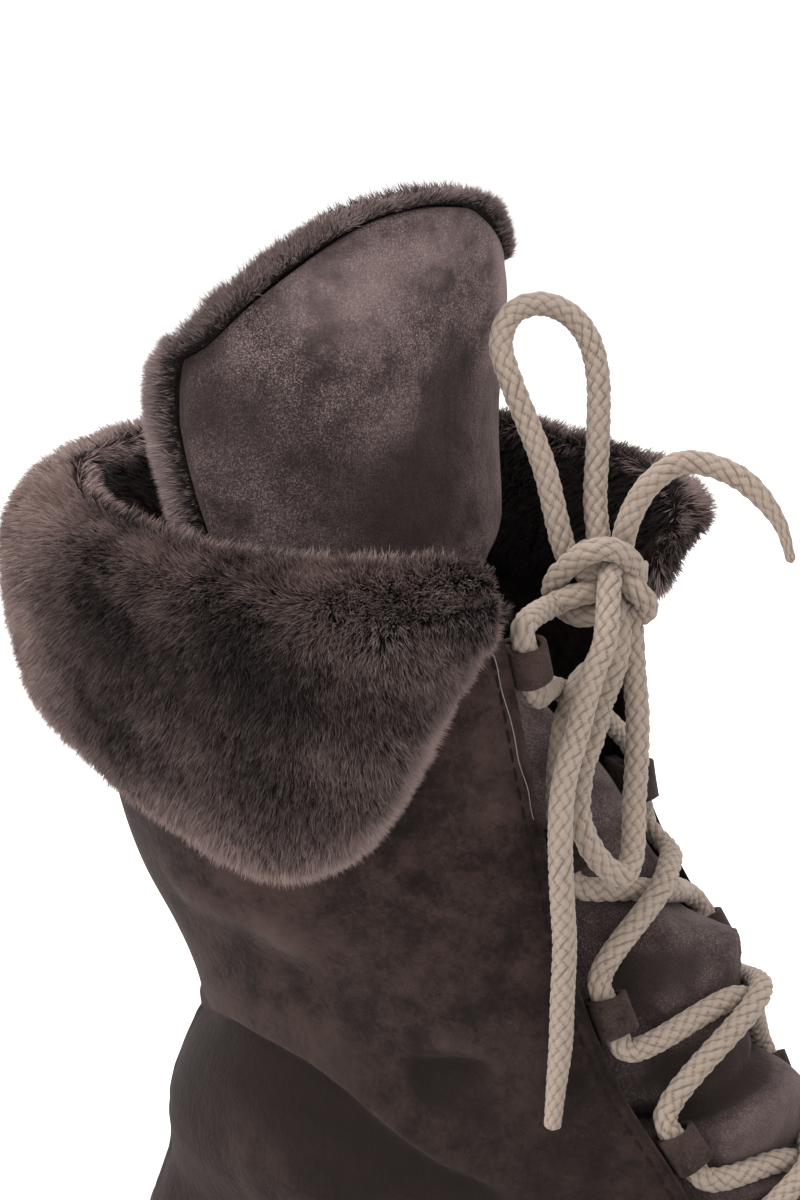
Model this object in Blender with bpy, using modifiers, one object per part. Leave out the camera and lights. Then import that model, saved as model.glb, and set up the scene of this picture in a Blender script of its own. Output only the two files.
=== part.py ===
# Snow boot for the right foot: suede over fleece, with a turned-down fur cuff, a tall tongue that wraps
# round the shin, and one thick lace that runs through suede tabs and ends in a bow.
# Metres, +Z up, the toe towards +X and the outer side towards -Y. Lengths along X count from the heel's
# back until the last step, which moves the whole boot so that the origin is under its middle.
from collections import namedtuple
from functools import lru_cache
from math import asin, atan2, cos, pi, radians, sin, sqrt

import bmesh
import bpy
import numpy as np
from mathutils import Matrix, Vector

# Driving dimensions
FOOT_LENGTH = 0.262  # upper, heel to toe
BALL_WIDTH = 0.096
COLLAR_WIDTH = 0.103
INSTEP_HEIGHT = 0.060  # lower end of the throat, above the sole
SHAFT_HEIGHT = 0.208  # top edge of the suede shaft, above the floor
THROAT_WIDTH = 0.073  # between the throat's edges, at the collar
WALL = 0.003
GAP = 0.0003
HEEL_HEIGHT = 0.024
SOLE_THICKNESS = 0.013
TOE_SPRING = 0.008
ARCH_RISE = 0.007
WELT = 0.0035
MARGIN = 0.012  # lasting edge turned in under the foot
INSOLE = 0.006
TREAD_DEPTH = 0.003
TREAD_BAR = 0.009
TREAD_GROOVE = 0.005
TOE_SKEW = 0.008  # the toe's tip lies this far to the inner side
FUR = 0.010  # pile of the cuff
CUFF_RISE = 0.009  # fold's top above the shaft's edge
CUFF_INSIDE = 0.014  # how far the cuff's pile covers the inside
CUFF_DROP = 0.063
CUFF_FLARE = 0.0195
TUFT = 0.0012
CUFF_ROOM = 0.0009  # between the cuff and the shaft's top edge
CUFF_ENDS = [(1.0, -0.0006), (0.80, -0.0020), (0.40, -0.0028)]  # scale and place of its end sections
TONGUE_TOP = 0.270
TONGUE_DROP = 0.025  # how far the tongue's top falls from its middle to its corners
TONGUE_FALL = 4  # how late towards the corners it falls, as a power
TONGUE_LEAN = 0.031  # how far it stands back from the throat at the collar
TONGUE_SWELL = 0.004  # how far it bulges in the throat
TONGUE_RADIUS = 0.039
TONGUE_FACE = 0.002
TONGUE_FLEECE = 0.006
BORDER = 0.0065  # fur that shows round the tongue's suede
LACE = 0.0055
TAB_WIDTH = 0.008
TAB_STRIP = 0.0012
TAB_TAIL = 0.0072
LACE_ROOM = 0.0008
KNOT = 0.0075
BOW_TURN = radians(32)
BOW_TILT = radians(15.5)
KNOT_AT = (0.1155, -0.005, 0.208)

SIDE_COLUMNS = 18
CUFF_STATIONS = 4 * SIDE_COLUMNS
ASTRIDE = 5  # points of the cuff's section that face the upper's wall
TONGUE_BOTTOM = 0.27
TONGUE_SHARES = [i / 7 for i in range(-7, 8)]
TONGUE_RISES = [i / 11 for i in range(12)]
NEAR, FAR = -1, 1

Section = namedtuple("Section", "height back widest edge gap ball collar fore aft")
# Contours of the foot. height is a share of INSTEP_HEIGHT; back, widest and edge are shares of
# FOOT_LENGTH; gap is a share of half THROAT_WIDTH; ball and collar are shares of those two widths, and
# together the contour's half width; fore and aft are how square its two ends are.
FOOT = [
    Section(0.00, 0.026, 0.687, 0.985, 0.22, 0.469, 0, 2.3, 2.7),
    Section(0.14, 0.015, 0.687, 1.000, 0.22, 0.495, 0, 2.3, 2.7),
    Section(0.30, 0.014, 0.679, 0.998, 0.22, 0.500, 0, 2.3, 2.7),
    Section(0.45, 0.019, 0.664, 0.974, 0.22, 0.479, 0, 2.3, 2.7),
    Section(0.57, 0.025, 0.641, 0.929, 0.22, 0.448, 0, 2.3, 2.6),
    Section(0.65, 0.031, 0.611, 0.879, 0.22, 0.422, 0, 2.3, 2.5),
    Section(0.74, 0.038, 0.562, 0.818, 0.24, 0.399, 0, 2.3, 2.4),
    Section(0.87, 0.049, 0.497, 0.748, 0.27, 0.380, 0, 2.3, 2.3),
]
# Contours of the shaft. height is a share of the way from the throat's lower end to the shaft's top.
SHAFT = [
    Section(0.00, 0.060, 0.447, 0.690, 0.33, 0.345, 0.023, 2.3, 2.2),
    Section(0.06, 0.068, 0.410, 0.648, 0.42, 0.300, 0.065, 2.4, 2.2),
    Section(0.13, 0.078, 0.378, 0.610, 0.52, 0.250, 0.117, 2.4, 2.2),
    Section(0.20, 0.089, 0.356, 0.572, 0.60, 0.190, 0.178, 2.5, 2.2),
    Section(0.28, 0.100, 0.332, 0.543, 0.67, 0.130, 0.240, 2.5, 2.2),
    Section(0.36, 0.102, 0.314, 0.515, 0.74, 0.070, 0.307, 2.5, 2.2),
    Section(0.45, 0.071, 0.292, 0.490, 0.78, 0.030, 0.361, 2.5, 2.2),
    Section(0.54, 0.040, 0.272, 0.468, 0.76, 0, 0.413, 2.5, 2.2),
    Section(0.64, 0.023, 0.256, 0.450, 0.72, 0, 0.438, 2.5, 2.2),
    Section(0.76, 0.017, 0.244, 0.436, 0.77, 0, 0.460, 2.5, 2.2),
    Section(0.88, 0.008, 0.236, 0.425, 0.82, 0, 0.483, 2.5, 2.2),
    Section(1.00, 0.003, 0.230, 0.424, 1.00, 0, 0.500, 2.5, 2.2),
]
# The waist and the sole's line, as shares of FOOT_LENGTH
WAIST_AT, WAIST_LENGTH = 0.38, 0.15
WAIST_IN = {NEAR: 0.13, FAR: 0.28}
HEEL_FRONT, ARCH_END, TREAD_END, BALL_AT = 0.25, 0.48, 0.78, 0.64

CuffRow = namedtuple("CuffRow", "along drop flare inside")
# along is a share of the collar from the outer throat edge round the back to the inner one. The rest are
# shares of CUFF_DROP, CUFF_FLARE and CUFF_INSIDE: how far the hem hangs below the fold, how far the pile
# stands off the shaft, and how far it reaches down inside.
CUFF = [
    CuffRow(0.00, 0.17, 0.48, 0.35),
    CuffRow(0.04, 0.38, 0.70, 0.45),
    CuffRow(0.08, 0.70, 0.90, 0.80),
    CuffRow(0.12, 0.91, 1.00, 1.00),
    CuffRow(0.17, 1.00, 0.97, 1.00),
    CuffRow(0.24, 0.92, 0.88, 1.00),
    CuffRow(0.32, 0.77, 0.82, 1.00),
    CuffRow(0.42, 0.67, 0.82, 1.00),
    CuffRow(0.50, 0.65, 0.82, 1.00),
    CuffRow(0.60, 0.70, 0.84, 1.00),
    CuffRow(0.70, 0.82, 0.87, 1.00),
    CuffRow(0.80, 0.86, 0.90, 1.00),
    CuffRow(0.86, 0.60, 0.80, 1.00),
    CuffRow(0.91, 0.34, 0.66, 0.80),
    CuffRow(0.96, 0.25, 0.55, 0.45),
    CuffRow(1.00, 0.24, 0.48, 0.35),
]

TongueRow = namedtuple("TongueRow", "height half")
# height is a share of TONGUE_TOP and half the tongue's half width along its curve, in radii
TONGUE = [
    TongueRow(0.24, 0.42),
    TongueRow(0.31, 0.72),
    TongueRow(0.38, 0.92),
    TongueRow(0.47, 1.06),
    TongueRow(0.57, 1.22),
    TongueRow(0.66, 1.34),
    TongueRow(0.76, 1.42),
    TongueRow(0.86, 1.64),
    TongueRow(1.00, 1.74),
]
TAB_HEIGHTS = (0.938, 0.763, 0.615, 0.487, 0.375)  # shares of SHAFT_HEIGHT, from the top

# Routes of the bow, each point right, up and out of the knot as the bow faces, in millimetres
LOOP_UP = [(-9, 14, 3), (-13, 24, 3), (-17, 36, 2), (-20, 47, 1), (-18, 54, 0), (-11, 57, -1)]
LOOP_UP += [(-4, 50, -2), (-1, 40, -2), (0, 30, -2), (-1, 18, -2)]
LOOP_DOWN = [(2, -16, 3), (0, -24, 4), (-2, -34, 8), (-5, -43, 13), (-5, -52, 13), (0, -60, 10)]
LOOP_DOWN += [(5, -60, 7), (7, -52, 4), (8, -40, 2), (9, -24, 1), (9, -13, 1)]
END_RIGHT = [(8, 17, 3), (12, 22, 4), (18, 25, 5), (28, 21, 6), (35, 11, 7), (38, 4, 7)]
END_DOWN = [(0, -16, 12), (-3, -22, 15), (-6, -34, 19), (-8, -44, 20), (-9, -54, 19), (-9, -70, 12)]
END_DOWN += [(-8, -88, 7), (-10, -104, 5)]
# Where each strand leaves the knot, in the same directions
LEAVES = {
    "near": (-0.80, -0.10, 0.55),
    "far": (0.29, -0.16, -0.94),
    "up_left": (-0.60, 0.65, 0.30),
    "up_right": (0.00, 0.90, -0.20),
    "end_right": (0.75, 0.60, 0.20),
    "end_down": (0.10, -0.45, 0.90),
    "down_left": (0.10, -1.00, 0.15),
    "down_right": (0.85, -0.50, 0.10),
}


def smooth(share):
    share = min(max(share, 0.0), 1.0)
    return share * share * (3 - 2 * share)


def table_rows(rows, height_of):
    return np.array([[height_of(row), *row[1:]] for row in rows])


def curve_through(rows, at):
    """The table's values at this place, on a smooth curve through its rows."""
    places = rows[:, 0]
    at = min(max(at, places[0]), places[-1])
    i = min(max(int(np.searchsorted(places, at)) - 1, 0), len(rows) - 2)
    span = places[i + 1] - places[i]
    slopes = []
    for k in (i, i + 1):
        low, high = max(k - 1, 0), min(k + 1, len(rows) - 1)
        slopes.append((rows[high] - rows[low]) / (places[high] - places[low]))
    t = (at - places[i]) / span
    first, last = rows[i], rows[i + 1]
    return (
        first * (2 * t**3 - 3 * t**2 + 1)
        + last * (3 * t**2 - 2 * t**3)
        + slopes[0] * span * (t**3 - 2 * t**2 + t)
        + slopes[1] * span * (t**3 - t**2)
    )


CONTOURS = np.vstack(
    [
        table_rows(FOOT, lambda row: row.height * INSTEP_HEIGHT),
        table_rows(SHAFT, lambda row: INSTEP_HEIGHT + row.height * (SHAFT_HEIGHT - INSTEP_HEIGHT)),
    ]
)
TONGUE_WIDTHS = table_rows(TONGUE, lambda row: row.height * TONGUE_TOP)
CUFF_ROWS = table_rows(CUFF, lambda row: row.along)


def sole_top(x):
    """Height of the outsole's upper face."""
    heel = HEEL_HEIGHT - SOLE_THICKNESS
    slope = (x / FOOT_LENGTH - HEEL_FRONT) / (BALL_AT - HEEL_FRONT)
    toe = (x / FOOT_LENGTH - TREAD_END) / (1 - TREAD_END)
    return SOLE_THICKNESS + heel * (1 - smooth(slope)) + TOE_SPRING * max(toe, 0.0) ** 1.5


def sole_bottom(x):
    """Height of the outsole's lower face: flat under heel and forefoot, hollow at the arch."""
    share = x / FOOT_LENGTH
    if share < ARCH_END:
        breast = smooth((share - HEEL_FRONT) / 0.03)
        return ARCH_RISE * breast * (1 - smooth((share - HEEL_FRONT - 0.06) / (ARCH_END - HEEL_FRONT - 0.06)))
    return TOE_SPRING * max((share - TREAD_END) / (1 - TREAD_END), 0.0) ** 1.5


@lru_cache(maxsize=None)
def half_contour(height, side):
    """(points, lengths from the middle of the front) of one side of the upper's contour at this height."""
    _, back, widest, edge, gap, ball, collar, fore, aft = curve_through(CONTOURS, height)
    half = ball * BALL_WIDTH + collar * COLLAR_WIDTH
    gap *= THROAT_WIDTH / 2
    back, widest, edge = (share * FOOT_LENGTH for share in (back, widest, edge))
    reach = (edge - widest) / (1 - (gap / half) ** fore) ** (1 / fore)
    low = 1 - smooth(height / INSTEP_HEIGHT)
    points = []
    for angle in np.linspace(0, pi, 121):
        front = angle <= pi / 2
        power = 2 / (fore if front else aft)
        x = widest + (reach if front else back - widest) * abs(cos(angle)) ** power
        y = half * sin(angle) ** power
        waist = ((x / FOOT_LENGTH - WAIST_AT) / WAIST_LENGTH) ** 2
        y *= 1 - WAIST_IN[side] * low * np.exp(-waist)
        skew = TOE_SKEW * smooth((x / FOOT_LENGTH - 0.6) / 0.4) * (0.4 + 0.6 * low)
        lift = 1 - smooth(height / (1.5 * INSTEP_HEIGHT))
        points.append((x, side * y + skew, height + (sole_top(x) + GAP) * lift))
    points = np.array(points)
    steps = np.linalg.norm(np.diff(points[:, :2], axis=0), axis=1)
    return points, np.concatenate([[0], np.cumsum(steps)])


def surface(height, side, along):
    """Point of the upper's outer face, this far along its contour from the middle of the front."""
    points, lengths = half_contour(round(height, 7), side)
    if along < 0:
        points, lengths = half_contour(round(height, 7), -side)
        along = -along
    return Vector([np.interp(along, lengths, points[:, k]) for k in range(3)])


def throat_at(height, side):
    """How far along its contour the throat's edge lies."""
    points, lengths = half_contour(round(height, 7), side)
    gap = curve_through(CONTOURS, height)[4] * THROAT_WIDTH / 2
    front = len(points) // 2
    return float(np.interp(gap, side * (points[:front, 1] - points[0, 1]), lengths[:front]))


def outward(of, height, side, along, step=0.0012):
    """Outward direction of the surface that the function of gives, at this place."""
    round_it = of(height, side, along + step) - of(height, side, along - step)
    up = of(height + step, side, along) - of(height - step, side, along)
    normal = round_it.cross(up) * side
    return normal.normalized()


def columns(height):
    """Points round the upper from the outer throat edge by the back to the inner one, then the front."""
    ring = []
    for side in (NEAR, FAR):
        start = throat_at(height, side)
        whole = half_contour(round(height, 7), side)[1][-1]
        shares = [i / SIDE_COLUMNS for i in range(SIDE_COLUMNS + 1)]
        line = [surface(height, side, start + (whole - start) * s) for s in shares]
        ring += line if side == NEAR else line[-2::-1]
    return ring + [surface(height, NEAR, 0)]


def turned_in(ring, depth):
    """The ring moved inward in plan by this depth."""
    moved = []
    for i, point in enumerate(ring):
        tangent = ring[(i + 1) % len(ring)] - ring[i - 1]
        inward = Vector((tangent.y, -tangent.x, 0)).normalized()
        moved.append(point + inward * depth)
    return moved


def collection(name):
    made = bpy.data.collections.new(name)
    bpy.context.scene.collection.children.link(made)
    return made


def material(name, colour, roughness):
    made = bpy.data.materials.new(name)
    made.use_nodes = True
    shader = made.node_tree.nodes["Principled BSDF"]
    shader.inputs["Base Color"].default_value = (*colour, 1)
    shader.inputs["Roughness"].default_value = roughness
    made.diffuse_color = (*colour, 1)
    return made


def mesh_object(name, points, faces, finish, group):
    data = bpy.data.meshes.new(name)
    data.from_pydata([tuple(point) for point in points], [], faces)
    data.validate()
    data.shade_smooth()
    made = bpy.data.objects.new(name, data)
    made.data.materials.append(finish)
    group.objects.link(made)
    return made


def facing_out(made):
    """Turns a closed mesh's faces outward."""
    mesh = bmesh.new()
    mesh.from_mesh(made.data)
    bmesh.ops.recalc_face_normals(mesh, faces=mesh.faces)
    if mesh.calc_volume(signed=True) < 0:
        bmesh.ops.reverse_faces(mesh, faces=mesh.faces)
    mesh.to_mesh(made.data)
    mesh.free()
    made.data.set_sharp_from_angle(angle=radians(40))
    return made


def across(first, count):
    """Faces that close a ring of count points, made by columns(), from one side to the other."""
    last = 2 * SIDE_COLUMNS
    faces = [(first + i, first + i + 1, first + last - i - 1, first + last - i) for i in range(SIDE_COLUMNS - 1)]
    faces.append((first + SIDE_COLUMNS - 1, first + SIDE_COLUMNS, first + SIDE_COLUMNS + 1))
    faces.append((first, first + last, first + count - 1))
    return faces


def stacked(name, rings, finish, group):
    """Closed solid through rings of columns(), from the lowest to the highest."""
    count = len(rings[0])
    faces = []
    for row in range(len(rings) - 1):
        for i in range(count):
            a, b = row * count + i, row * count + (i + 1) % count
            faces.append((a, b, b + count, a + count))
    faces += across(0, count) + across((len(rings) - 1) * count, count)
    points = [point for ring in rings for point in ring]
    return facing_out(mesh_object(name, points, faces, finish, group))


def wrapped(name, rings, finish, group):
    """Closed solid lofted through closed rings, each with as many points, and capped at both ends."""
    count = len(rings[0])
    faces = [tuple(range(count)), tuple(range((len(rings) - 1) * count, len(rings) * count))]
    for row in range(len(rings) - 1):
        for i in range(count):
            a, b = row * count + i, row * count + (i + 1) % count
            faces.append((a, b, b + count, a + count))
    points = [point for ring in rings for point in ring]
    return facing_out(mesh_object(name, points, faces, finish, group))


def smooth_line(points, step):
    """Points this far apart on a smooth curve through the given ones."""
    points = [Vector(p) for p in points]
    ends = [2 * points[0] - points[1], *points, 2 * points[-1] - points[-2]]
    line = [points[0]]
    for i in range(1, len(ends) - 2):
        a, b, c, d = ends[i - 1 : i + 3]
        before, span, after = (max(sqrt((q - p).length), 1e-6) for p, q in ((a, b), (b, c), (c, d)))
        leave = (c - b) + ((b - a) / before - (c - a) / (before + span)) * span
        reach = (c - b) + ((d - c) / after - (d - b) / (span + after)) * span
        count = max(int(round((c - b).length / step)), 1)
        for t in (k / count for k in range(1, count + 1)):
            line.append(
                b * (2 * t**3 - 3 * t**2 + 1)
                + c * (3 * t**2 - 2 * t**3)
                + leave * (t**3 - 2 * t**2 + t)
                + reach * (t**3 - t**2)
            )
    return line


def cord(name, route, step, finish, group, tip=1.0):
    """Round cord along a route, its last points narrowed to tip."""
    data = bpy.data.curves.new(name, "CURVE")
    data.dimensions = "3D"
    data.bevel_depth = LACE / 2
    data.bevel_resolution = 2
    data.use_fill_caps = True
    line = smooth_line(route, step)
    spline = data.splines.new("POLY")
    spline.points.add(len(line) - 1)
    for i, point in enumerate(line):
        spline.points[i].co = (*point, 1)
        left = len(line) - 1 - i
        spline.points[i].radius = tip if left == 0 else 0.5 + tip / 2 if left == 1 else 1
    made = bpy.data.objects.new(name, data)
    made.data.materials.append(finish)
    group.objects.link(made)
    return made


def make_outsole(finish, group, cutters):
    """Rubber unit with a ribbed side, a low heel, an arch and cross grooves."""
    outline = columns(0)
    # out from the upper's lower edge, share of the sole's thickness
    profile = [(-0.6, 0), (0.5, 0.12), (0.8, 0.5), (0.35, 0.56), (0.35, 0.66), (1, 0.72), (1, 0.95), (0.8, 1)]
    rings = []
    for out, share in profile:
        ring = turned_in(outline, -out * WELT)
        for point in ring:
            low = sole_bottom(point.x)
            point.z = low + share * (sole_top(point.x) - low)
        rings.append(ring)
    sole = stacked("outsole", rings, finish, group)
    step = TREAD_BAR + TREAD_GROOVE
    places = np.arange(0.022, HEEL_FRONT * FOOT_LENGTH - TREAD_BAR, step).tolist()
    places += np.arange((ARCH_END + 0.02) * FOOT_LENGTH, 0.93 * FOOT_LENGTH, step).tolist()
    for i, x in enumerate(places):
        size = Vector((TREAD_GROOVE, 2 * BALL_WIDTH, 2 * TREAD_DEPTH))
        mesh = bmesh.new()
        bmesh.ops.create_cube(mesh, size=1, matrix=Matrix.Diagonal(size).to_4x4())
        data = bpy.data.meshes.new(f"groove_{i + 1}")
        mesh.to_mesh(data)
        mesh.free()
        groove = bpy.data.objects.new(data.name, data)
        groove.location = (x, 0, sole_bottom(x))
        groove.rotation_euler = (0, -atan2(sole_bottom(x + step) - sole_bottom(x), step), radians(-10))
        groove.display_type = "WIRE"
        groove.hide_render = True
        cutters.objects.link(groove)
    cut = sole.modifiers.new("tread", "BOOLEAN")
    cut.operation = "DIFFERENCE"
    cut.operand_type = "COLLECTION"
    cut.collection = cutters
    return sole


def make_insole(finish, group):
    """Fleece footbed that lies on the upper's turned-in edge."""
    outline = columns(0)
    rings = []
    for depth, rise in ((0.0015, 0), (0.0008, 0.4), (0.0008, 0.8), (0.002, 1)):
        ring = turned_in(outline, WALL + depth)
        for point in ring:
            point.z = sole_top(point.x) + WALL + 2 * GAP + rise * INSOLE
        rings.append(ring)
    return stacked("insole", rings, finish, group)


def make_upper(finish, group):
    """Foot and shaft in one wall, open at the throat, the collar and underneath."""
    rings = [turned_in(columns(0), MARGIN)] + [columns(float(height)) for height in CONTOURS[:, 0]]
    for point in rings[0]:
        point.z = sole_top(point.x) + GAP
    count = len(rings[0])
    middle = count - 1
    closed_rows = len(FOOT) + 1
    faces = []
    for row in range(len(rings) - 1):
        for i in range(count):
            if row >= closed_rows and i >= middle - 1:
                continue
            a, b = row * count + i, row * count + (i + 1) % count
            faces.append((a, a + count, b + count, b))
    points = [point for ring in rings for point in ring]
    made = mesh_object("upper", points, faces, finish, group)
    mesh = bmesh.new()
    mesh.from_mesh(made.data)
    bmesh.ops.delete(mesh, geom=[v for v in mesh.verts if not v.link_faces], context="VERTS")
    mesh.to_mesh(made.data)
    mesh.free()
    wall = made.modifiers.new("wall", "SOLIDIFY")
    wall.thickness = WALL
    wall.offset = -1
    wall.use_even_offset = True
    return made


def shaft_frame(side, share):
    """At this share of the way from the throat's edge to the back: a function of height that gives the
    outer face's point, and the level outward direction and the tangent at the collar."""

    def at(height):
        height = min(height, SHAFT_HEIGHT)
        start = throat_at(height, side)
        whole = half_contour(round(height, 7), side)[1][-1]
        return surface(height, side, start + (whole - start) * share)

    low, high = max(share - 0.02, 0), min(share + 0.02, 1)
    ends = []
    for s in (low, high):
        start = throat_at(SHAFT_HEIGHT, side)
        whole = half_contour(SHAFT_HEIGHT, side)[1][-1]
        ends.append(surface(SHAFT_HEIGHT, side, start + (whole - start) * s))
    tangent = ends[1] - ends[0]
    out = Vector((tangent.y, -tangent.x, 0)).normalized() * side
    return at, out, tangent.normalized()


def cuff_ring(along, scale=1.0, beyond=0.0):
    """Closed section of the cuff at this share of the collar, which sits astride the shaft's edge."""
    side = NEAR if along <= 0.5 else FAR
    share = 2 * along if side == NEAR else 2 - 2 * along
    at, out, tangent = shaft_frame(side, share)
    _, drop, flare, inside = curve_through(CUFF_ROWS, along)
    drop, flare, inside = drop * CUFF_DROP, flare * CUFF_FLARE, inside * CUFF_INSIDE
    top = SHAFT_HEIGHT + CUFF_RISE
    hem = top - drop
    lock = TUFT * (1 if int(round(along * CUFF_STATIONS)) % 2 else -1)
    inner = WALL + CUFF_ROOM
    hang = min(0.25, drop / 0.2)
    mid = (SHAFT_HEIGHT + hem) / 2
    # out from the shaft's outer face, height
    section = [
        (-inner, SHAFT_HEIGHT - inside),
        (-inner, SHAFT_HEIGHT + CUFF_ROOM),
        (GAP, SHAFT_HEIGHT + CUFF_ROOM),
        (CUFF_ROOM + hang * max(flare - FUR, 0), mid),
        (CUFF_ROOM + 0.5 * hang * flare, hem + 0.2 * FUR),
        (0.45 * flare, hem - lock),
        (0.86 * flare, hem + 0.25 * FUR + lock),
        (flare + lock, hem + 0.36 * (top - hem)),
        (0.96 * flare - lock, hem + 0.72 * (top - hem)),
        (0.68 * flare + lock / 2, top - 0.004),
        (0.28 * flare, top),
        (-0.35 * FUR, top + lock / 3),
        (-inner - 0.44 * FUR, SHAFT_HEIGHT - 0.3 * inside),
        (-inner - 0.32 * FUR, SHAFT_HEIGHT - inside - 0.1 * FUR),
    ]
    ring = []
    for offset, height in section:
        point = at(height) + out * offset
        point.z = height
        ring.append(point)
    centre = sum(ring, Vector()) / len(ring)
    return [centre + (point - centre) * scale + tangent * beyond for point in ring]


def make_cuff(finish, group):
    """Fur collar: the pile folds over the shaft's edge and hangs outside it, with a rounded lapel."""
    rings = [cuff_ring(i / CUFF_STATIONS) for i in range(CUFF_STATIONS + 1)]
    # halfway between two of the upper's columns the points that face its wall lie on a straight line
    for i in range(1, CUFF_STATIONS, 2):
        for k in range(ASTRIDE):
            rings[i][k] = (rings[i - 1][k] + rings[i + 1][k]) / 2
    rings = [cuff_ring(0, *end) for end in reversed(CUFF_ENDS)] + rings
    rings += [cuff_ring(1, *end) for end in CUFF_ENDS]
    return wrapped("cuff", rings, finish, group)


def tongue_surface(height, side, along):
    """Point of the tongue's outer face: under the throat it follows the upper, and above it stands free."""
    if along < 0:
        return tongue_surface(height, -side, -along)
    depth = WALL + 2 * TAB_STRIP + 6 * GAP
    within = min(height, SHAFT_HEIGHT)
    front = surface(within, side, 0).x - depth
    front -= TONGUE_LEAN * smooth((height / SHAFT_HEIGHT - 0.70) / 0.29)
    depth -= TONGUE_SWELL * (1 - smooth(along / (0.6 * throat_at(within, side) + GAP)))
    angle = along / TONGUE_RADIUS
    free = Vector(
        (front - TONGUE_RADIUS * (1 - cos(angle)), side * TONGUE_RADIUS * sin(angle), height)
    )
    share = smooth((height / SHAFT_HEIGHT - 0.60) / 0.22)
    if share == 1:
        return free
    under = surface(within, side, along)
    under -= outward(surface, within, side, max(along, 0.0015)) * depth
    return under.lerp(free, share)


def tongue_top(share):
    """Height of the tongue's upper edge at this share of its half width."""
    return TONGUE_TOP - TONGUE_DROP * abs(share) ** TONGUE_FALL


def tongue_half(height):
    return curve_through(TONGUE_WIDTHS, height)[1] * TONGUE_RADIUS


def tongue_grid(shares, rises, bottom, extra):
    """Places on the tongue, by row and column: (height, side, along, distance past the suede's edge).

    shares runs over the half width, rises over the height, and extra lists how far the border's rows
    and columns lie past the suede's edge."""
    grid = []
    spans = [(s, 0.0) for s in shares]
    spans = [(-1, e) for e in reversed(extra)] + spans + [(1, e) for e in extra]
    for rise, over in [(r, 0.0) for r in rises] + [(1, e) for e in extra]:
        row = []
        for share, past in spans:
            slope = TONGUE_FALL * TONGUE_DROP * abs(share) ** (TONGUE_FALL - 1) / (TONGUE_RADIUS * pi / 2)
            # the border's corner is rounded
            round_it = max(past, over) / sqrt(past**2 + over**2) if past and over else 1
            lift = over * round_it * min(sqrt(1 + slope**2), 1.3)
            height = bottom + rise * (tongue_top(share) - bottom) + lift
            shown = 0.15 + 0.85 * smooth((height - 0.72 * SHAFT_HEIGHT) / (0.2 * SHAFT_HEIGHT))
            wide = past * round_it * (shown if past > 2 * GAP else 1)
            along = abs(share) * tongue_half(min(height, TONGUE_TOP)) + wide
            row.append((height, NEAR if share < 0 else FAR, along, max(past, over), shown))
        grid.append(row)
    return grid


def sheet_solid(name, front, back, finish, group):
    """Closed solid between two grids of points of the same size."""
    rows, cols = len(front), len(front[0])
    points = [p for row in front for p in row] + [p for row in back for p in row]
    below = rows * cols
    faces = []
    for r in range(rows - 1):
        for c in range(cols - 1):
            a = r * cols + c
            faces.append((a, a + 1, a + cols + 1, a + cols))
            faces.append((below + a, below + a + cols, below + a + cols + 1, below + a + 1))
    border = [c for c in range(cols)]
    border += [r * cols + cols - 1 for r in range(1, rows)]
    border += [(rows - 1) * cols + c for c in range(cols - 2, -1, -1)]
    border += [r * cols for r in range(rows - 2, 0, -1)]
    for a, b in zip(border, border[1:] + border[:1]):
        faces.append((a, below + a, below + b, b))
    return facing_out(mesh_object(name, points, faces, finish, group))


def tongue_point(place, offset):
    height, side, along = place[:3]
    return tongue_surface(height, side, along) + outward(tongue_surface, height, side, max(along, 0.0015)) * offset


def make_tongue(finish, group):
    """Suede face of the tongue."""
    grid = tongue_grid(TONGUE_SHARES, TONGUE_RISES, TONGUE_BOTTOM * TONGUE_TOP, [])
    front = [[tongue_point(p, 0) for p in row] for row in grid]
    back = [[tongue_point(p, -TONGUE_FACE) for p in row] for row in grid]
    return sheet_solid("tongue", front, back, finish, group)


def make_tongue_fleece(finish, group):
    """Fur behind the tongue, which stands proud round the suede's edge."""
    edge = [GAP, 1.2 * GAP, 0.5 * BORDER, BORDER]
    grid = tongue_grid(TONGUE_SHARES, TONGUE_RISES, TONGUE_BOTTOM * TONGUE_TOP, edge)
    under = -TONGUE_FACE - 1.5 * GAP
    proud = {GAP: under, 1.2 * GAP: 0.0010, 0.5 * BORDER: 0.0016, BORDER: -0.0035}
    front, back = [], []
    for row in grid:
        front.append([])
        back.append([])
        for place in row:
            past, shown = place[3], place[4]
            height = proud.get(past, under)
            height = under + (height - under) * smooth((shown - 0.15) / 0.85)
            front[-1].append(tongue_point(place, height))
            thick = TONGUE_FLEECE * (0.55 + 0.45 * shown) * (0.6 if past == BORDER else 1)
            back[-1].append(tongue_point(place, under - thick))
    return sheet_solid("tongue_fleece", front, back, finish, group)


def tab_frame(side, share):
    """The lace's place in this tab, and the axes into the throat, outward and up along the edge."""
    height = share * SHAFT_HEIGHT
    edge = throat_at(height, side)
    below = WALL + 3 * GAP

    def inside(along):
        return surface(height, side, along) - outward(surface, height, side, along) * below

    here = inside(edge)
    low, high = height - 0.002, height + 0.002
    up = surface(high, side, throat_at(high, side)) - surface(low, side, throat_at(low, side))
    up.normalize()
    into = here - inside(edge + TAB_TAIL)
    into = (into - up * into.dot(up)).normalized()
    out = into.cross(up) * -side
    out.normalize()
    return here, into, out, up


TAB_RADIUS = LACE / 2 + LACE_ROOM + TAB_STRIP
TAB_REACH = TAB_RADIUS + 0.0014


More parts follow.
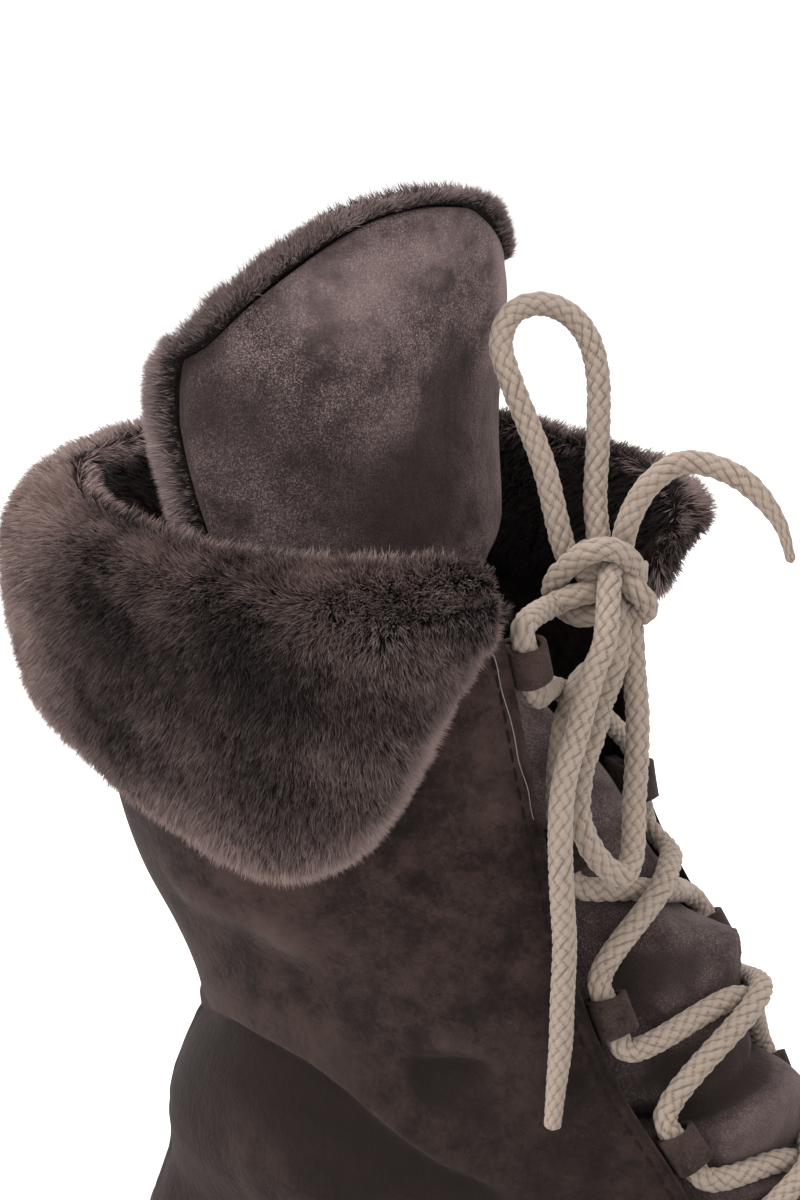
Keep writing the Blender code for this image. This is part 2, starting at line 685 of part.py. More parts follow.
def make_tab(name, side, share, finish, group):
    """Strip of suede folded round the lace, its doubled end behind the throat's edge."""
    here, into, out, up = tab_frame(side, share)
    rise = TAB_RADIUS - 2 * TAB_STRIP
    tail_top = asin((rise) / TAB_RADIUS)
    data = bpy.data.curves.new(name, "CURVE")
    data.dimensions = "2D"
    data.fill_mode = "BOTH"
    data.extrude = TAB_WIDTH / 2
    turns = np.linspace(-pi / 2, pi + tail_top, 12)
    outer = [(TAB_REACH + TAB_RADIUS * cos(a), rise + TAB_RADIUS * sin(a)) for a in turns]
    outer += [(-TAB_TAIL, 0), (-TAB_TAIL, -2 * TAB_STRIP)]
    hole = LACE / 2 + LACE_ROOM
    inner = [(TAB_REACH + hole * cos(a), rise + hole * sin(a)) for a in np.arange(10) * pi / 5]
    for outline in (outer, inner):
        spline = data.splines.new("POLY")
        spline.use_cyclic_u = True
        spline.points.add(len(outline) - 1)
        for point, (x, y) in zip(spline.points, outline):
            point.co = (x, y, 0, 1)
    made = bpy.data.objects.new(name, data)
    made.data.materials.append(finish)
    made.matrix_world = Matrix.Translation(here) @ Matrix((into, out, into.cross(out))).transposed().to_4x4()
    group.objects.link(made)
    return made


def lace_in_tab(side, number):
    """Top, middle and bottom of the lace's run through a tab."""
    here, into, out, up = tab_frame(side, TAB_HEIGHTS[number - 1])
    middle = here + into * TAB_REACH + out * (TAB_RADIUS - 2 * TAB_STRIP)
    half = TAB_WIDTH / 2 + 0.65 * LACE
    return middle + up * half, middle, middle - up * half


def crossing(first, last, over):
    """Middle of a strand between two tabs: clear of the tongue, and of the strand under it."""
    height = (first.z + last.z) / 2
    front = tongue_surface(height, NEAR, 0)
    out = outward(tongue_surface, height, NEAR, 0.0015)
    out.y = 0
    out.normalize()
    chord = Vector(((first.x + last.x) / 2, 0, height))
    clear = LACE / 2 + 0.0016
    lift = max((chord - front).dot(out), clear) + over * (LACE + 0.0006)
    point = front + out * lift
    point.z = height + (point.z - height) * 0.5
    return point


def bow_point(right, up, out):
    """Place of a point that is given as the bow faces, in metres from the knot's middle."""
    across_view = Vector((cos(BOW_TURN), sin(BOW_TURN), 0))
    toward = Vector((sin(BOW_TURN) * cos(BOW_TILT), -cos(BOW_TURN) * cos(BOW_TILT), sin(BOW_TILT)))
    upward = toward.cross(across_view)
    return Vector(KNOT_AT) + across_view * right + upward * up + toward * out


def leaving(strand):
    """First two points of a strand, straight out of the knot."""
    direction = Vector(LEAVES[strand]).normalized()
    return [bow_point(*(direction * (KNOT + GAP + along))) for along in (0, LACE / 2)]


def lace_route():
    """One lace from the knot down both sides of the throat and back to the knot."""
    route = leaving("near")
    last = None
    for side, number in [(NEAR, 1), (FAR, 2), (NEAR, 3), (FAR, 4), (NEAR, 5)]:
        top, middle, bottom = lace_in_tab(side, number)
        if last is not None:
            route.append(crossing(last, top, side == NEAR))
        route += [top, middle, bottom]
        last = bottom
    top, middle, bottom = lace_in_tab(FAR, 5)
    route.append(crossing(last, bottom, 0))
    route += [bottom, middle, top]
    last = top
    for side, number in [(NEAR, 4), (FAR, 3), (NEAR, 2), (FAR, 1)]:
        top, middle, bottom = lace_in_tab(side, number)
        route.append(crossing(last, bottom, side == FAR))
        route += [bottom, middle, top]
        last = top
    return route + leaving("far")[::-1]


def make_lace(finish, group):
    """Crossings through the tabs, then the bow's knot, loops and ends."""
    cord("lace_crossings", lace_route(), 0.008, finish, group)
    mesh = bmesh.new()
    bmesh.ops.create_uvsphere(mesh, u_segments=12, v_segments=8, radius=KNOT)
    data = bpy.data.meshes.new("lace_knot")
    mesh.to_mesh(data)
    mesh.free()
    data.shade_smooth()
    knot = bpy.data.objects.new("lace_knot", data)
    knot.data.materials.append(finish)
    knot.location = KNOT_AT
    group.objects.link(knot)
    bow = {
        "lace_loop_up": ("up_left", LOOP_UP, "up_right"),
        "lace_loop_down": ("down_left", LOOP_DOWN, "down_right"),
        "lace_end_right": ("end_right", END_RIGHT, None),
        "lace_end_down": ("end_down", END_DOWN, None),
    }
    for name, (first, points, last) in bow.items():
        route = leaving(first) + [bow_point(*(mm / 1000 for mm in point)) for point in points]
        if last:
            route += leaving(last)[::-1]
        cord(name, route, 0.007, finish, group, 1.0 if last else 0.55)


def centre_boot(group, left_out):
    """Parents the pieces to one empty and moves it so that the origin is under the boot's middle."""
    root = bpy.data.objects.new("boot", None)
    group.objects.link(root)
    bpy.context.view_layer.update()
    graph = bpy.context.evaluated_depsgraph_get()
    corners = []
    for piece in group.objects:
        if piece.type == "EMPTY":
            continue
        if not piece.name.startswith(left_out):
            shape = piece.evaluated_get(graph)
            mesh = shape.to_mesh()
            corners += [piece.matrix_world @ vertex.co for vertex in mesh.vertices]
            shape.to_mesh_clear()
        piece.parent = root
    low = [min(corner[k] for corner in corners) for k in range(3)]
    high = [max(corner[k] for corner in corners) for k in range(3)]
    root.location = (-(low[0] + high[0]) / 2, -(low[1] + high[1]) / 2, -low[2])
    return root


def main():
    for old in list(bpy.data.objects):
        bpy.data.objects.remove(old, do_unlink=True)
    boot = collection("snow_boot")
    cutters = collection("cutters")
    cutters.hide_render = True
    suede = material("suede", (0.060, 0.044, 0.041), 0.95)
    tongue_suede = material("tongue_suede", (0.066, 0.050, 0.047), 0.95)
    tab_suede = material("tab_suede", (0.052, 0.038, 0.036), 0.95)
    cuff_fur = material("cuff_fur", (0.085, 0.064, 0.060), 1.0)
    fleece = material("fleece", (0.075, 0.056, 0.052), 1.0)
    footbed = material("footbed", (0.070, 0.052, 0.048), 1.0)
    rubber = material("rubber", (0.018, 0.016, 0.015), 0.7)
    cotton = material("lace_cotton", (0.560, 0.470, 0.370), 0.9)
    make_outsole(rubber, boot, cutters)
    make_insole(footbed, boot)
    make_upper(suede, boot)
    make_cuff(cuff_fur, boot)
    make_tongue(tongue_suede, boot)
    make_tongue_fleece(fleece, boot)
    for side, word in ((NEAR, "outer"), (FAR, "inner")):
        for number, share in enumerate(TAB_HEIGHTS, 1):
            make_tab(f"lace_tab_{word}_{number}", side, share, tab_suede, boot)
    make_lace(cotton, boot)
    centre_boot(boot, ("lace_knot", "lace_loop", "lace_end"))


main()
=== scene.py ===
"""A laced winter boot of dark suede and fleece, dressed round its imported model.

Lengths are metres. The form is worked out with the heel's back at x = 0, the toe towards +x and the
outer side towards -y, and every piece is then moved into the model's frame, whose origin lies on the
floor under the boot's middle.
"""

from __future__ import annotations

import logging
from dataclasses import dataclass, field
from enum import IntEnum
from functools import lru_cache
from math import asin, atan2, cos, pi, radians, sin, sqrt
from typing import Callable, NamedTuple, Sequence, Union

import bmesh
import bpy
import numpy as np
from mathutils import Matrix, Vector
from mathutils.kdtree import KDTree


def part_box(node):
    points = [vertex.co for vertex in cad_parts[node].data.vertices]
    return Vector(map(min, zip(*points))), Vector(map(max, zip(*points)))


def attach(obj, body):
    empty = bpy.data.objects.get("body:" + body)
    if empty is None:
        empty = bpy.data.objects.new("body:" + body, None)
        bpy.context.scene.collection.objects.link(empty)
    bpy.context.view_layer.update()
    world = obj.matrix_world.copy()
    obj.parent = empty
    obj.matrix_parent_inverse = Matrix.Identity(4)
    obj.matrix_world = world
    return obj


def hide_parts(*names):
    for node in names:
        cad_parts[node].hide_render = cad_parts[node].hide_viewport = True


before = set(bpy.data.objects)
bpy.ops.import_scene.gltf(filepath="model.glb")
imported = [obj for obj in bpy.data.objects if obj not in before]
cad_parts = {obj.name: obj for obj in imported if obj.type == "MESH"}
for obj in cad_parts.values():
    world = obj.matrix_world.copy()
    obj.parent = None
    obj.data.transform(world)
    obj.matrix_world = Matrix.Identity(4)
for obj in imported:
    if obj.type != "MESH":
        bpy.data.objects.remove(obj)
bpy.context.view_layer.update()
log = logging.getLogger("snow_boot")
Array = np.ndarray
Colour = tuple[float, float, float]
ROOT = "root"
# how far the inner side of the throat's upper end is pressed in
PRESSED = 0.0068


class Side(IntEnum):
    """The two sides of the boot, each the sign of y there."""

    OUTER = -1
    INNER = 1


# ---------------------------------------------------------------- shader maths


class Flow:
    """A socket's value, whose arithmetic adds the Math nodes it needs."""

    def __init__(self, tree: "Tree", socket: bpy.types.NodeSocket) -> None:
        """Wraps one output socket of a tree."""
        self.tree = tree
        self.socket = socket

    def __add__(self, other: "Number") -> "Flow":
        """Sum."""
        return self.tree.math("ADD", self, other)

    def __sub__(self, other: "Number") -> "Flow":
        """Difference."""
        return self.tree.math("SUBTRACT", self, other)

    def __rsub__(self, other: "Number") -> "Flow":
        """Difference from a number."""
        return self.tree.math("SUBTRACT", other, self)

    def __mul__(self, other: "Number") -> "Flow":
        """Product."""
        return self.tree.math("MULTIPLY", self, other)

    __radd__ = __add__
    __rmul__ = __mul__

    def between(self, low: float, high: float) -> "Flow":
        """The value spread smoothly over 0 to 1 from low to high, and held there.

        Args:
            low: the value that becomes 0.
            high: the value that becomes 1.

        Returns:
            The eased flow.
        """
        settings = {"interpolation_type": "SMOOTHSTEP"}
        inputs = {"Value": self, "From Min": low, "From Max": high}
        return self.tree.add("ShaderNodeMapRange", settings, inputs)


Number = Union[Flow, float]


class Tree:
    """The node tree of one material, with one method that adds any node."""

    def __init__(self, name: str) -> None:
        """Starts a material of this name with nothing but its output.

        Args:
            name: the material's name.
        """
        self.material = bpy.data.materials.new(name)
        self.material.use_nodes = True
        self.nodes = self.material.node_tree.nodes
        self.nodes.clear()

    def add(
        self, kind: str, settings: dict | None = None, inputs: dict | None = None, out: int = 0
    ) -> Flow:
        """Adds a node, sets it up, and feeds its sockets.

        Args:
            kind: the node's type.
            settings: its properties.
            inputs: values or flows by socket name or number.
            out: which output the flow is of.

        Returns:
            The flow of that output.
        """
        made = self.nodes.new(kind)
        for name, value in (settings or {}).items():
            setattr(made, name, value)
        for name, value in (inputs or {}).items():
            socket = made.inputs[name]
            if isinstance(value, Flow):
                self.material.node_tree.links.new(value.socket, socket)
            elif isinstance(value, tuple) and len(value) == 3 and socket.type == "RGBA":
                socket.default_value = (*value, 1)
            else:
                socket.default_value = value
        return Flow(self, made.outputs[out]) if made.outputs else Flow(self, None)

    def math(self, operation: str, first: Number, second: Number) -> Flow:
        """One Math node on two values."""
        return self.add("ShaderNodeMath", {"operation": operation}, {0: first, 1: second})

    def mix(self, share: Number, first: Flow | Colour, second: Flow | Colour) -> Flow:
        """Two colours mixed by a share from 0 to 1."""
        settings = {"data_type": "RGBA", "clamp_factor": True}
        return self.add("ShaderNodeMix", settings, {0: share, 6: first, 7: second}, 2)

    def place(self) -> Flow:
        """Where a point lies in the boot's frame."""
        return self.add("ShaderNodeTexCoord", out=3)

    def noise(self, scale: float, detail: float = 3.0, rough: float = 0.55) -> Flow:
        """Noise of so many cells to the metre, from 0 to 1."""
        inputs = {"Vector": self.place(), "Scale": scale, "Detail": detail, "Roughness": rough}
        return self.add("ShaderNodeTexNoise", {"noise_dimensions": "3D"}, inputs)

    def mark(self, name: str) -> Flow:
        """A value that the mesh carries under this name."""
        return self.add("ShaderNodeAttribute", {"attribute_name": name}, out=2)

    def bump(self, height: Flow, strength: float, depth: float, below: Flow | None = None) -> Flow:
        """Normals of a relief of this depth in metres, on top of another relief.

        Args:
            height: the relief's height, from 0 to 1.
            strength: how strongly it shows.
            depth: how deep it is, in metres.
            below: a relief that it lies on.

        Returns:
            The normals.
        """
        inputs = {"Height": height, "Strength": strength, "Distance": depth}
        if below:
            inputs["Normal"] = below
        return self.add("ShaderNodeBump", {}, inputs)

    def surface(self, **inputs: object) -> bpy.types.Material:
        """Ends the tree in a Principled shader with these sockets, spaces written as underscores.

        Args:
            inputs: values or flows by socket name.

        Returns:
            The material.
        """
        sockets = {name.replace("_", " "): value for name, value in inputs.items()}
        shader = self.add("ShaderNodeBsdfPrincipled", {}, sockets)
        self.add("ShaderNodeOutputMaterial", {}, {"Surface": shader})
        return self.material


# ---------------------------------------------------------------- finishes


@dataclass(frozen=True)
class Suede:
    """Brushed leather: a mottled nap with pale fibre tips, rubbed wear and painted highlights on ridges,
    and painted shade in creases.
    """

    name: str
    deep: Colour = (0.0100, 0.0062, 0.0054)
    body: Colour = (0.0490, 0.0292, 0.0248)
    # colour of the rubbed nap and of the painted highlights
    rubbed_and_lit: Colour = (0.110, 0.073, 0.062)
    tips: float = 0.45
    specks: tuple[float, float] = (0.56, 0.74)
    blotch: float = 26.0
    dark_below: tuple[float, float] = (0.075, 0.190)
    darker: float = 0.62
    sheen: float = 0.08

    def material(self) -> bpy.types.Material:
        """The finish as a material; meshes may carry a mark named fold, from -1 in a crease to 1, that
        paints shade below 0 and light above it.

        Returns:
            The material.
        """
        tree = Tree(self.name)
        broad = tree.noise(self.blotch, 3.0, 0.6)
        cloud = tree.noise(self.blotch * 6, 4.0, 0.62)
        nap = tree.noise(780.0, 4.0, 0.7)
        specks = tree.noise(3000.0, 2.0, 0.7).between(*self.specks)
        fold = tree.mark("fold")
        height = tree.add("ShaderNodeSeparateXYZ", {}, {"Vector": tree.place()}, 2)
        shade = broad * 0.5 + cloud * 0.4 + nap * 0.3
        colour = tree.mix(shade.between(0.48, 0.74), self.deep, self.body)
        colour = tree.mix(specks * cloud.between(0.25, 0.60) * self.tips, colour, self.rubbed_and_lit)
        # painted highlight, with rubbed wear, where fold is above 0, and painted shade where it is below
        # 0
        colour = tree.mix(fold.between(0.15, 1.2) * (cloud * 0.9), colour, self.rubbed_and_lit)
        colour = tree.mix((0.0 - fold).between(0.05, 0.9) * 0.85, colour, self.deep)
        low = (1.0 - height.between(*self.dark_below)) * self.darker
        colour = tree.mix(low, colour, self.deep)
        relief = tree.bump(cloud * 0.6 + broad * 0.4, 0.5, 0.0016)
        relief = tree.bump(nap, 0.6, 0.0006, relief)
        return tree.surface(
            Base_Color=colour,
            Roughness=0.94,
            Specular_IOR_Level=0.15,
            Sheen_Weight=self.sheen,
            Sheen_Roughness=0.42,
            Sheen_Tint=(0.62, 0.47, 0.43, 1),
            Normal=relief,
        )


@dataclass(frozen=True)
class Pile:
    """Long fur, with painted shade at the root and pale at the tip, each lock in its own tone."""

    name: str
    # the root's colour: painted shade deep in the pile
    root: Colour = (0.0070, 0.0048, 0.0044)
    body: Colour = (0.0340, 0.0230, 0.0215)
    tip: Colour = (0.300, 0.216, 0.198)

    def material(self) -> bpy.types.Material:
        """The finish as a material; blades carry along, from root to tip, and tone, which also holds
        painted light and shade.

        Returns:
            The material.
        """
        tree = Tree(self.name)
        along = tree.mark("along")
        tone = tree.mark("tone")
        broad = tree.noise(38.0, 3.0, 0.6)
        reach = along + tone * 0.28 - 0.12
        # painted shade towards the root, then the tips lightened by tone, painted light included
        colour = tree.mix(reach.between(0.0, 0.85), self.root, self.body)
        light = reach.between(0.35, 1.05) * (tone * 0.75 + broad * 0.3)
        colour = tree.mix(light, colour, self.tip)
        return tree.surface(
            Base_Color=colour,
            Roughness=0.78,
            Specular_IOR_Level=0.25,
            Sheen_Weight=0.10,
            Sheen_Roughness=0.4,
            Sheen_Tint=(0.7, 0.54, 0.49, 1),
        )


@dataclass(frozen=True)
class Fleece:
    """Short curly fleece as lining and footbed."""

    name: str
    dark: Colour = (0.008, 0.0056, 0.0050)
    light: Colour = (0.036, 0.0255, 0.0235)

    def material(self) -> bpy.types.Material:
        """The finish as a material.

        Returns:
            The material.
        """
        tree = Tree(self.name)
        curls = tree.noise(420.0, 4.0, 0.65)
        broad = tree.noise(60.0)
        colour = tree.mix((curls * 0.7 + broad * 0.4).between(0.35, 0.80), self.dark, self.light)
        return tree.surface(
            Base_Color=colour,
            Roughness=0.97,
            Specular_IOR_Level=0.1,
            Normal=tree.bump(curls, 0.9, 0.0016),
        )


@dataclass(frozen=True)
class Cotton:
    """Plaited cotton lace: pale threads with shaded gaps between them."""

    name: str
    gap: Colour = (0.120, 0.080, 0.058)
    thread: Colour = (0.262, 0.204, 0.163)
    bright: Colour = (0.385, 0.310, 0.255)

    def material(self) -> bpy.types.Material:
        """The finish as a material; the mesh carries relief, from 0 in a gap to 1 on a thread.

        Returns:
            The material.
        """
        tree = Tree(self.name)
        relief = tree.mark("relief")
        fibres = tree.noise(2600.0, 3.0, 0.7)
        soil = tree.noise(70.0, 4.0, 0.6)
        colour = tree.mix(fibres * 0.6 + soil * 0.5 - 0.15, self.thread, self.bright)
        colour = tree.mix((1.0 - relief).between(0.30, 1.0) * 0.8, colour, self.gap)
        colour = tree.mix(soil.between(0.56, 0.80) * 0.4, colour, self.gap)
        return tree.surface(
            Base_Color=colour,
            Roughness=0.88,
            Specular_IOR_Level=0.25,
            Sheen_Weight=0.12,
            Sheen_Roughness=0.5,
            Normal=tree.bump(fibres, 0.5, 0.0004),
        )


@dataclass(frozen=True)
class Rubber:
    """Moulded rubber with a dusty, scuffed skin."""

    name: str
    body: Colour = (0.017, 0.015, 0.014)
    dust: Colour = (0.085, 0.075, 0.066)

    def material(self) -> bpy.types.Material:
        """The finish as a material.

        Returns:
            The material.
        """
        tree = Tree(self.name)
        grain = tree.noise(900.0, 3.0, 0.6)
        scuff = tree.noise(46.0, 5.0, 0.68)
        colour = tree.mix(scuff.between(0.50, 0.78) * 0.55, self.body, self.dust)
        return tree.surface(
            Base_Color=colour,
            Roughness=scuff * 0.25 + 0.52,
            Specular_IOR_Level=0.4,
            Normal=tree.bump(grain, 0.35, 0.0004),
        )


@dataclass(frozen=True)
class Thread:
    """Twisted sewing thread."""

    name: str
    colour: Colour = (0.010, 0.0066, 0.0058)

    def material(self) -> bpy.types.Material:
        """The finish as a material.

        Returns:
            The material.
        """
        tree = Tree(self.name)
        twist = tree.noise(3500.0, 2.0, 0.6)
        lighter = tuple(c * 1.9 for c in self.colour)
        return tree.surface(
            Base_Color=tree.mix(twist, self.colour, lighter),
            Roughness=0.92,
            Specular_IOR_Level=0.1,
            Normal=tree.bump(twist, 0.5, 0.0002),
        )


@dataclass(frozen=True)
class Backdrop:
    """Plain pale floor."""

    name: str

    def material(self) -> bpy.types.Material:
        """The finish as a material.

        Returns:
            The material.
        """
        tree = Tree(self.name)
        mottle = tree.noise(1.5)
        colour = tree.mix(mottle, (0.965, 0.965, 0.965), (0.975, 0.975, 0.975))
        return tree.surface(Base_Color=colour, Roughness=0.9, Specular_IOR_Level=0.1)


# ---------------------------------------------------------------- meshes


def unit(vectors: Array) -> Array:
    """Vectors scaled to length 1."""
    return vectors / np.maximum(np.linalg.norm(vectors, axis=-1, keepdims=True), 1e-12)


def smoothstep(share: Array | float) -> Array | float:
    """0 to 1 with soft ends."""
    share = np.clip(share, 0.0, 1.0)
    return share * share * (3 - 2 * share)


def ways_along(points: Array) -> Array:
    """How far each point of a line, or of each row of a grid, lies from its first point.

    Args:
        points: the points, one row of coordinates each, in a line or a grid.

    Returns:
        The distances, without the points' last axis.
    """
    steps = np.linalg.norm(np.diff(points, axis=-2), axis=-1)
    return np.concatenate([np.zeros((*steps.shape[:-1], 1)), np.cumsum(steps, axis=-1)], axis=-1)


def circles(beside: Array, over: Array, sides: int) -> Array:
    """Unit circles across a line of points.

    Args:
        beside: directions beside the line at its points.
        over: directions over it.
        sides: how many points each circle has.

    Returns:
        The circles' points, one row a circle.
    """
    turn = np.linspace(0, 2 * pi, sides, endpoint=False)
    return beside[:, None] * np.cos(turn)[:, None] + over[:, None] * np.sin(turn)[:, None]


def grid_faces(rows: int, columns: int, closed: bool = False) -> Array:
    """Quads of a grid of points, row by row, whose columns may close on themselves.

    Args:
        rows: how many rows of points.
        columns: how many points a row.
        closed: whether the last column joins the first.

    Returns:
        Corner numbers, one row a quad.
    """
    across = columns if closed else columns - 1
    r, c = np.meshgrid(np.arange(rows - 1), np.arange(across), indexing="ij")
    a = r * columns + c
    b = r * columns + (c + 1) % columns
    return np.stack([a, b, b + columns, a + columns], axis=-1).reshape(-1, 4)


def grid_normals(points: Array, closed: bool = False) -> Array:
    """Normals of a grid of points, by its neighbours; the columns may close on themselves.

    Args:
        points: the grid's points.
        closed: whether the last column joins the first.

    Returns:
        A unit vector for each point.
    """
    if closed:
        across = np.roll(points, -1, axis=1) - np.roll(points, 1, axis=1)
    else:
        across = np.gradient(points, axis=1)
    return unit(np.cross(across, np.gradient(points, axis=0)))


def settled(points: Array) -> Array:
    """Points with the inner side of the throat's upper end pressed towards the shin, as on the foot.

    Args:
        points: points, one row each, from the heel's back.

    Returns:
        The points as the worn boot has them.
    """
    x, y, z = points.T
    high = smoothstep((z - 0.112) / 0.048) * (1 - smoothstep((z - 0.198) / 0.014))
    share = high * smoothstep((y - 0.006) / 0.016) * smoothstep((x - 0.060) / 0.03)
    return points - np.outer(share, (PRESSED, 0, 0))


def into_frame(points: Array) -> Array:
    """Points moved from the heel's back into the model's frame."""
    return settled(np.asarray(points, float).reshape(-1, 3)) + np.array(LAST.origin())


def placed(name: str, mesh: bpy.types.Mesh, finish: bpy.types.Material) -> bpy.types.Object:
    """Puts a mesh into the scene as a piece of the boot.

    Args:
        name: the piece's name.
        mesh: its mesh, in the model's frame.
        finish: its material.

    Returns:
        The piece, riding on the boot.
    """
    piece = bpy.data.objects.new(name, mesh)
    piece.data.materials.append(finish)
    bpy.context.scene.collection.objects.link(piece)
    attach(piece, ROOT)
    log.info("%s: %d faces", name, len(mesh.polygons))
    return piece


def aimed(thing: bpy.types.Object, direction: Vector) -> None:
    """Turns a camera or a lamp so that it looks in a direction."""
    thing.rotation_mode = "QUATERNION"
    thing.rotation_quaternion = direction.to_track_quat("-Z", "Y")


def mesh_piece(
    name: str, points: Array, faces: Array, finish: bpy.types.Material, slot: str, **marks: Array
) -> bpy.types.Object:
    """Makes a piece of the boot from points and faces that all have as many corners.

    Args:
        name: the piece's name.
        points: its points, three numbers each, from the heel's back.
        faces: corner numbers, one row a face.
        finish: its material.
        slot: not used.
        marks: values that the mesh carries at its points, by name.

    Returns:
        The piece, riding on the boot.
    """
    points = into_frame(points)
    mesh = bpy.data.meshes.new(name)
    mesh.vertices.add(len(points))
    mesh.vertices.foreach_set("co", points.astype(np.float32).ravel())
    mesh.loops.add(faces.size)
    mesh.loops.foreach_set("vertex_index", faces.astype(np.int32).ravel())
    mesh.polygons.add(len(faces))
    mesh.polygons.foreach_set("loop_start", np.arange(0, faces.size, faces.shape[1], dtype=np.int32))
    mesh.polygons.foreach_set("use_smooth", np.ones(len(faces), bool))
    mesh.update(calc_edges=True)
    for mark, values in marks.items():
        held = mesh.attributes.new(mark, "FLOAT", "POINT")
        held.data.foreach_set("value", np.asarray(values, np.float32).ravel())
    mesh.validate()
    return placed(name, mesh, finish)


def sheet(
    name: str, grid: Array, finish: bpy.types.Material, slot: str, closed: bool = False, **marks: Array
) -> bpy.types.Object:
    """Makes a piece of the boot from a grid of points.

    Args:
        name: the piece's name.
        grid: its points, row by row, from the heel's back.
        finish: its material.
        slot: not used.
        closed: whether the last column joins the first.
        marks: values that the mesh carries at its points, by name.

    Returns:
        The piece, riding on the boot.
    """
    return mesh_piece(name, grid, grid_faces(*grid.shape[:2], closed), finish, slot, **marks)


def thicken(piece: bpy.types.Object, thickness: float, offset: float = -1.0, rim: bool = False) -> None:
    """Gives a sheet a wall, inward unless the offset says otherwise, or only the wall's rim.

    Args:
        piece: the sheet.
        thickness: the wall's thickness.
        offset: -1 for a wall inward, 1 for one outward.
        rim: whether only the rim is made.
    """
    wall = piece.modifiers.new("wall", "SOLIDIFY")
    wall.thickness = thickness
    wall.offset = offset
    wall.use_even_offset = False
    wall.use_rim_only = rim


def smooth_line(points: Sequence[Vector], step: float) -> Array:
    """Points about a step apart on a smooth curve through the given ones.

    Args:
        points: what the curve passes through.
        step: the distance between the points that come back.

    Returns:
        The points, one row each.
    """
    given = np.array([tuple(p) for p in points])
    ends = np.vstack([2 * given[0] - given[1], given, 2 * given[-1] - given[-2]])
    line = [given[0]]
    for i in range(1, len(ends) - 2):
        a, b, c, d = ends[i - 1 : i + 3]
        pairs = ((a, b), (b, c), (c, d))
        before, span, after = (max(sqrt(np.linalg.norm(q - p)), 1e-6) for p, q in pairs)
        leave = (c - b) + ((b - a) / before - (c - a) / (before + span)) * span
        reach = (c - b) + ((d - c) / after - (d - b) / (span + after)) * span
        count = max(int(round(np.linalg.norm(c - b) / step)), 1)
        for t in (k / count for k in range(1, count + 1)):
            line.append(
                b * (2 * t**3 - 3 * t**2 + 1)
                + c * (3 * t**2 - 2 * t**3)
                + leave * (t**3 - 2 * t**2 + t)
                + reach * (t**3 - t**2)
            )
    return np.array(line)


def sampled(table: Array, rows: Array, columns: Array) -> Array:
    """Values between a table's rows and columns, on smooth curves through them.

    Args:
        table: values by row and column.
        rows: places between its rows.
        columns: places between its columns.

    Returns:
        The values at those places.
    """
    result = 0.0
    weights = []
    for places, size in ((rows, table.shape[0]), (columns, table.shape[1])):
        places = np.clip(places, 0, size - 1.0001)
        first = places.astype(int)
        t = places - first
        shares = [
            0.5 * (-(t**3) + 2 * t**2 - t),
            0.5 * (3 * t**3 - 5 * t**2 + 2),
            0.5 * (-3 * t**3 + 4 * t**2 + t),
            0.5 * (t**3 - t**2),
        ]
        weights.append([(np.clip(first + k - 1, 0, size - 1), shares[k]) for k in range(4)])
    for row, row_share in weights[0]:
        for column, column_share in weights[1]:
            result = result + table[row, column] * (row_share * column_share)[..., None]
    return result


def tube_frames(line: Array) -> tuple[Array, Array, Array]:
    """Directions along, beside and over a line of points, turning as little as they can.

    Args:
        line: points of the line.

    Returns:
        The three directions at each point.
    """
    along = unit(np.gradient(line, axis=0))
    beside = np.zeros_like(line)
    start = np.cross(along[0], (0.3, 0.2, 0.93))
    beside[0] = start / np.linalg.norm(start)
    for i in range(1, len(line)):
        carried = beside[i - 1] - along[i] * beside[i - 1].dot(along[i])
        beside[i] = carried / np.linalg.norm(carried)
    return along, beside, np.cross(along, beside)


# ---------------------------------------------------------------- the form


class Section(NamedTuple):
    """One contour of the boot: shares of its sizes."""

    height: float
    back: float
    widest: float
    edge: float
    gap: float
    ball: float
    collar: float
    fore: float
    aft: float


# height counts in shares of the instep's height; back, widest and edge in shares of the foot's
# length; gap in shares of half the throat; ball and collar in shares of those widths; fore and aft
# are roundness
FOOT = [
    Section(0.00, 0.026, 0.687, 0.985, 0.22, 0.469, 0, 2.3, 2.7),
    Section(0.14, 0.015, 0.687, 1.000, 0.22, 0.495, 0, 2.3, 2.7),
    Section(0.30, 0.014, 0.679, 0.998, 0.22, 0.500, 0, 2.3, 2.7),
    Section(0.45, 0.019, 0.664, 0.974, 0.22, 0.479, 0, 2.3, 2.7),
    Section(0.57, 0.025, 0.641, 0.929, 0.22, 0.448, 0, 2.3, 2.6),
    Section(0.65, 0.031, 0.611, 0.879, 0.22, 0.422, 0, 2.3, 2.5),
    Section(0.74, 0.038, 0.562, 0.818, 0.24, 0.399, 0, 2.3, 2.4),
    Section(0.87, 0.049, 0.497, 0.748, 0.27, 0.380, 0, 2.3, 2.3),
]
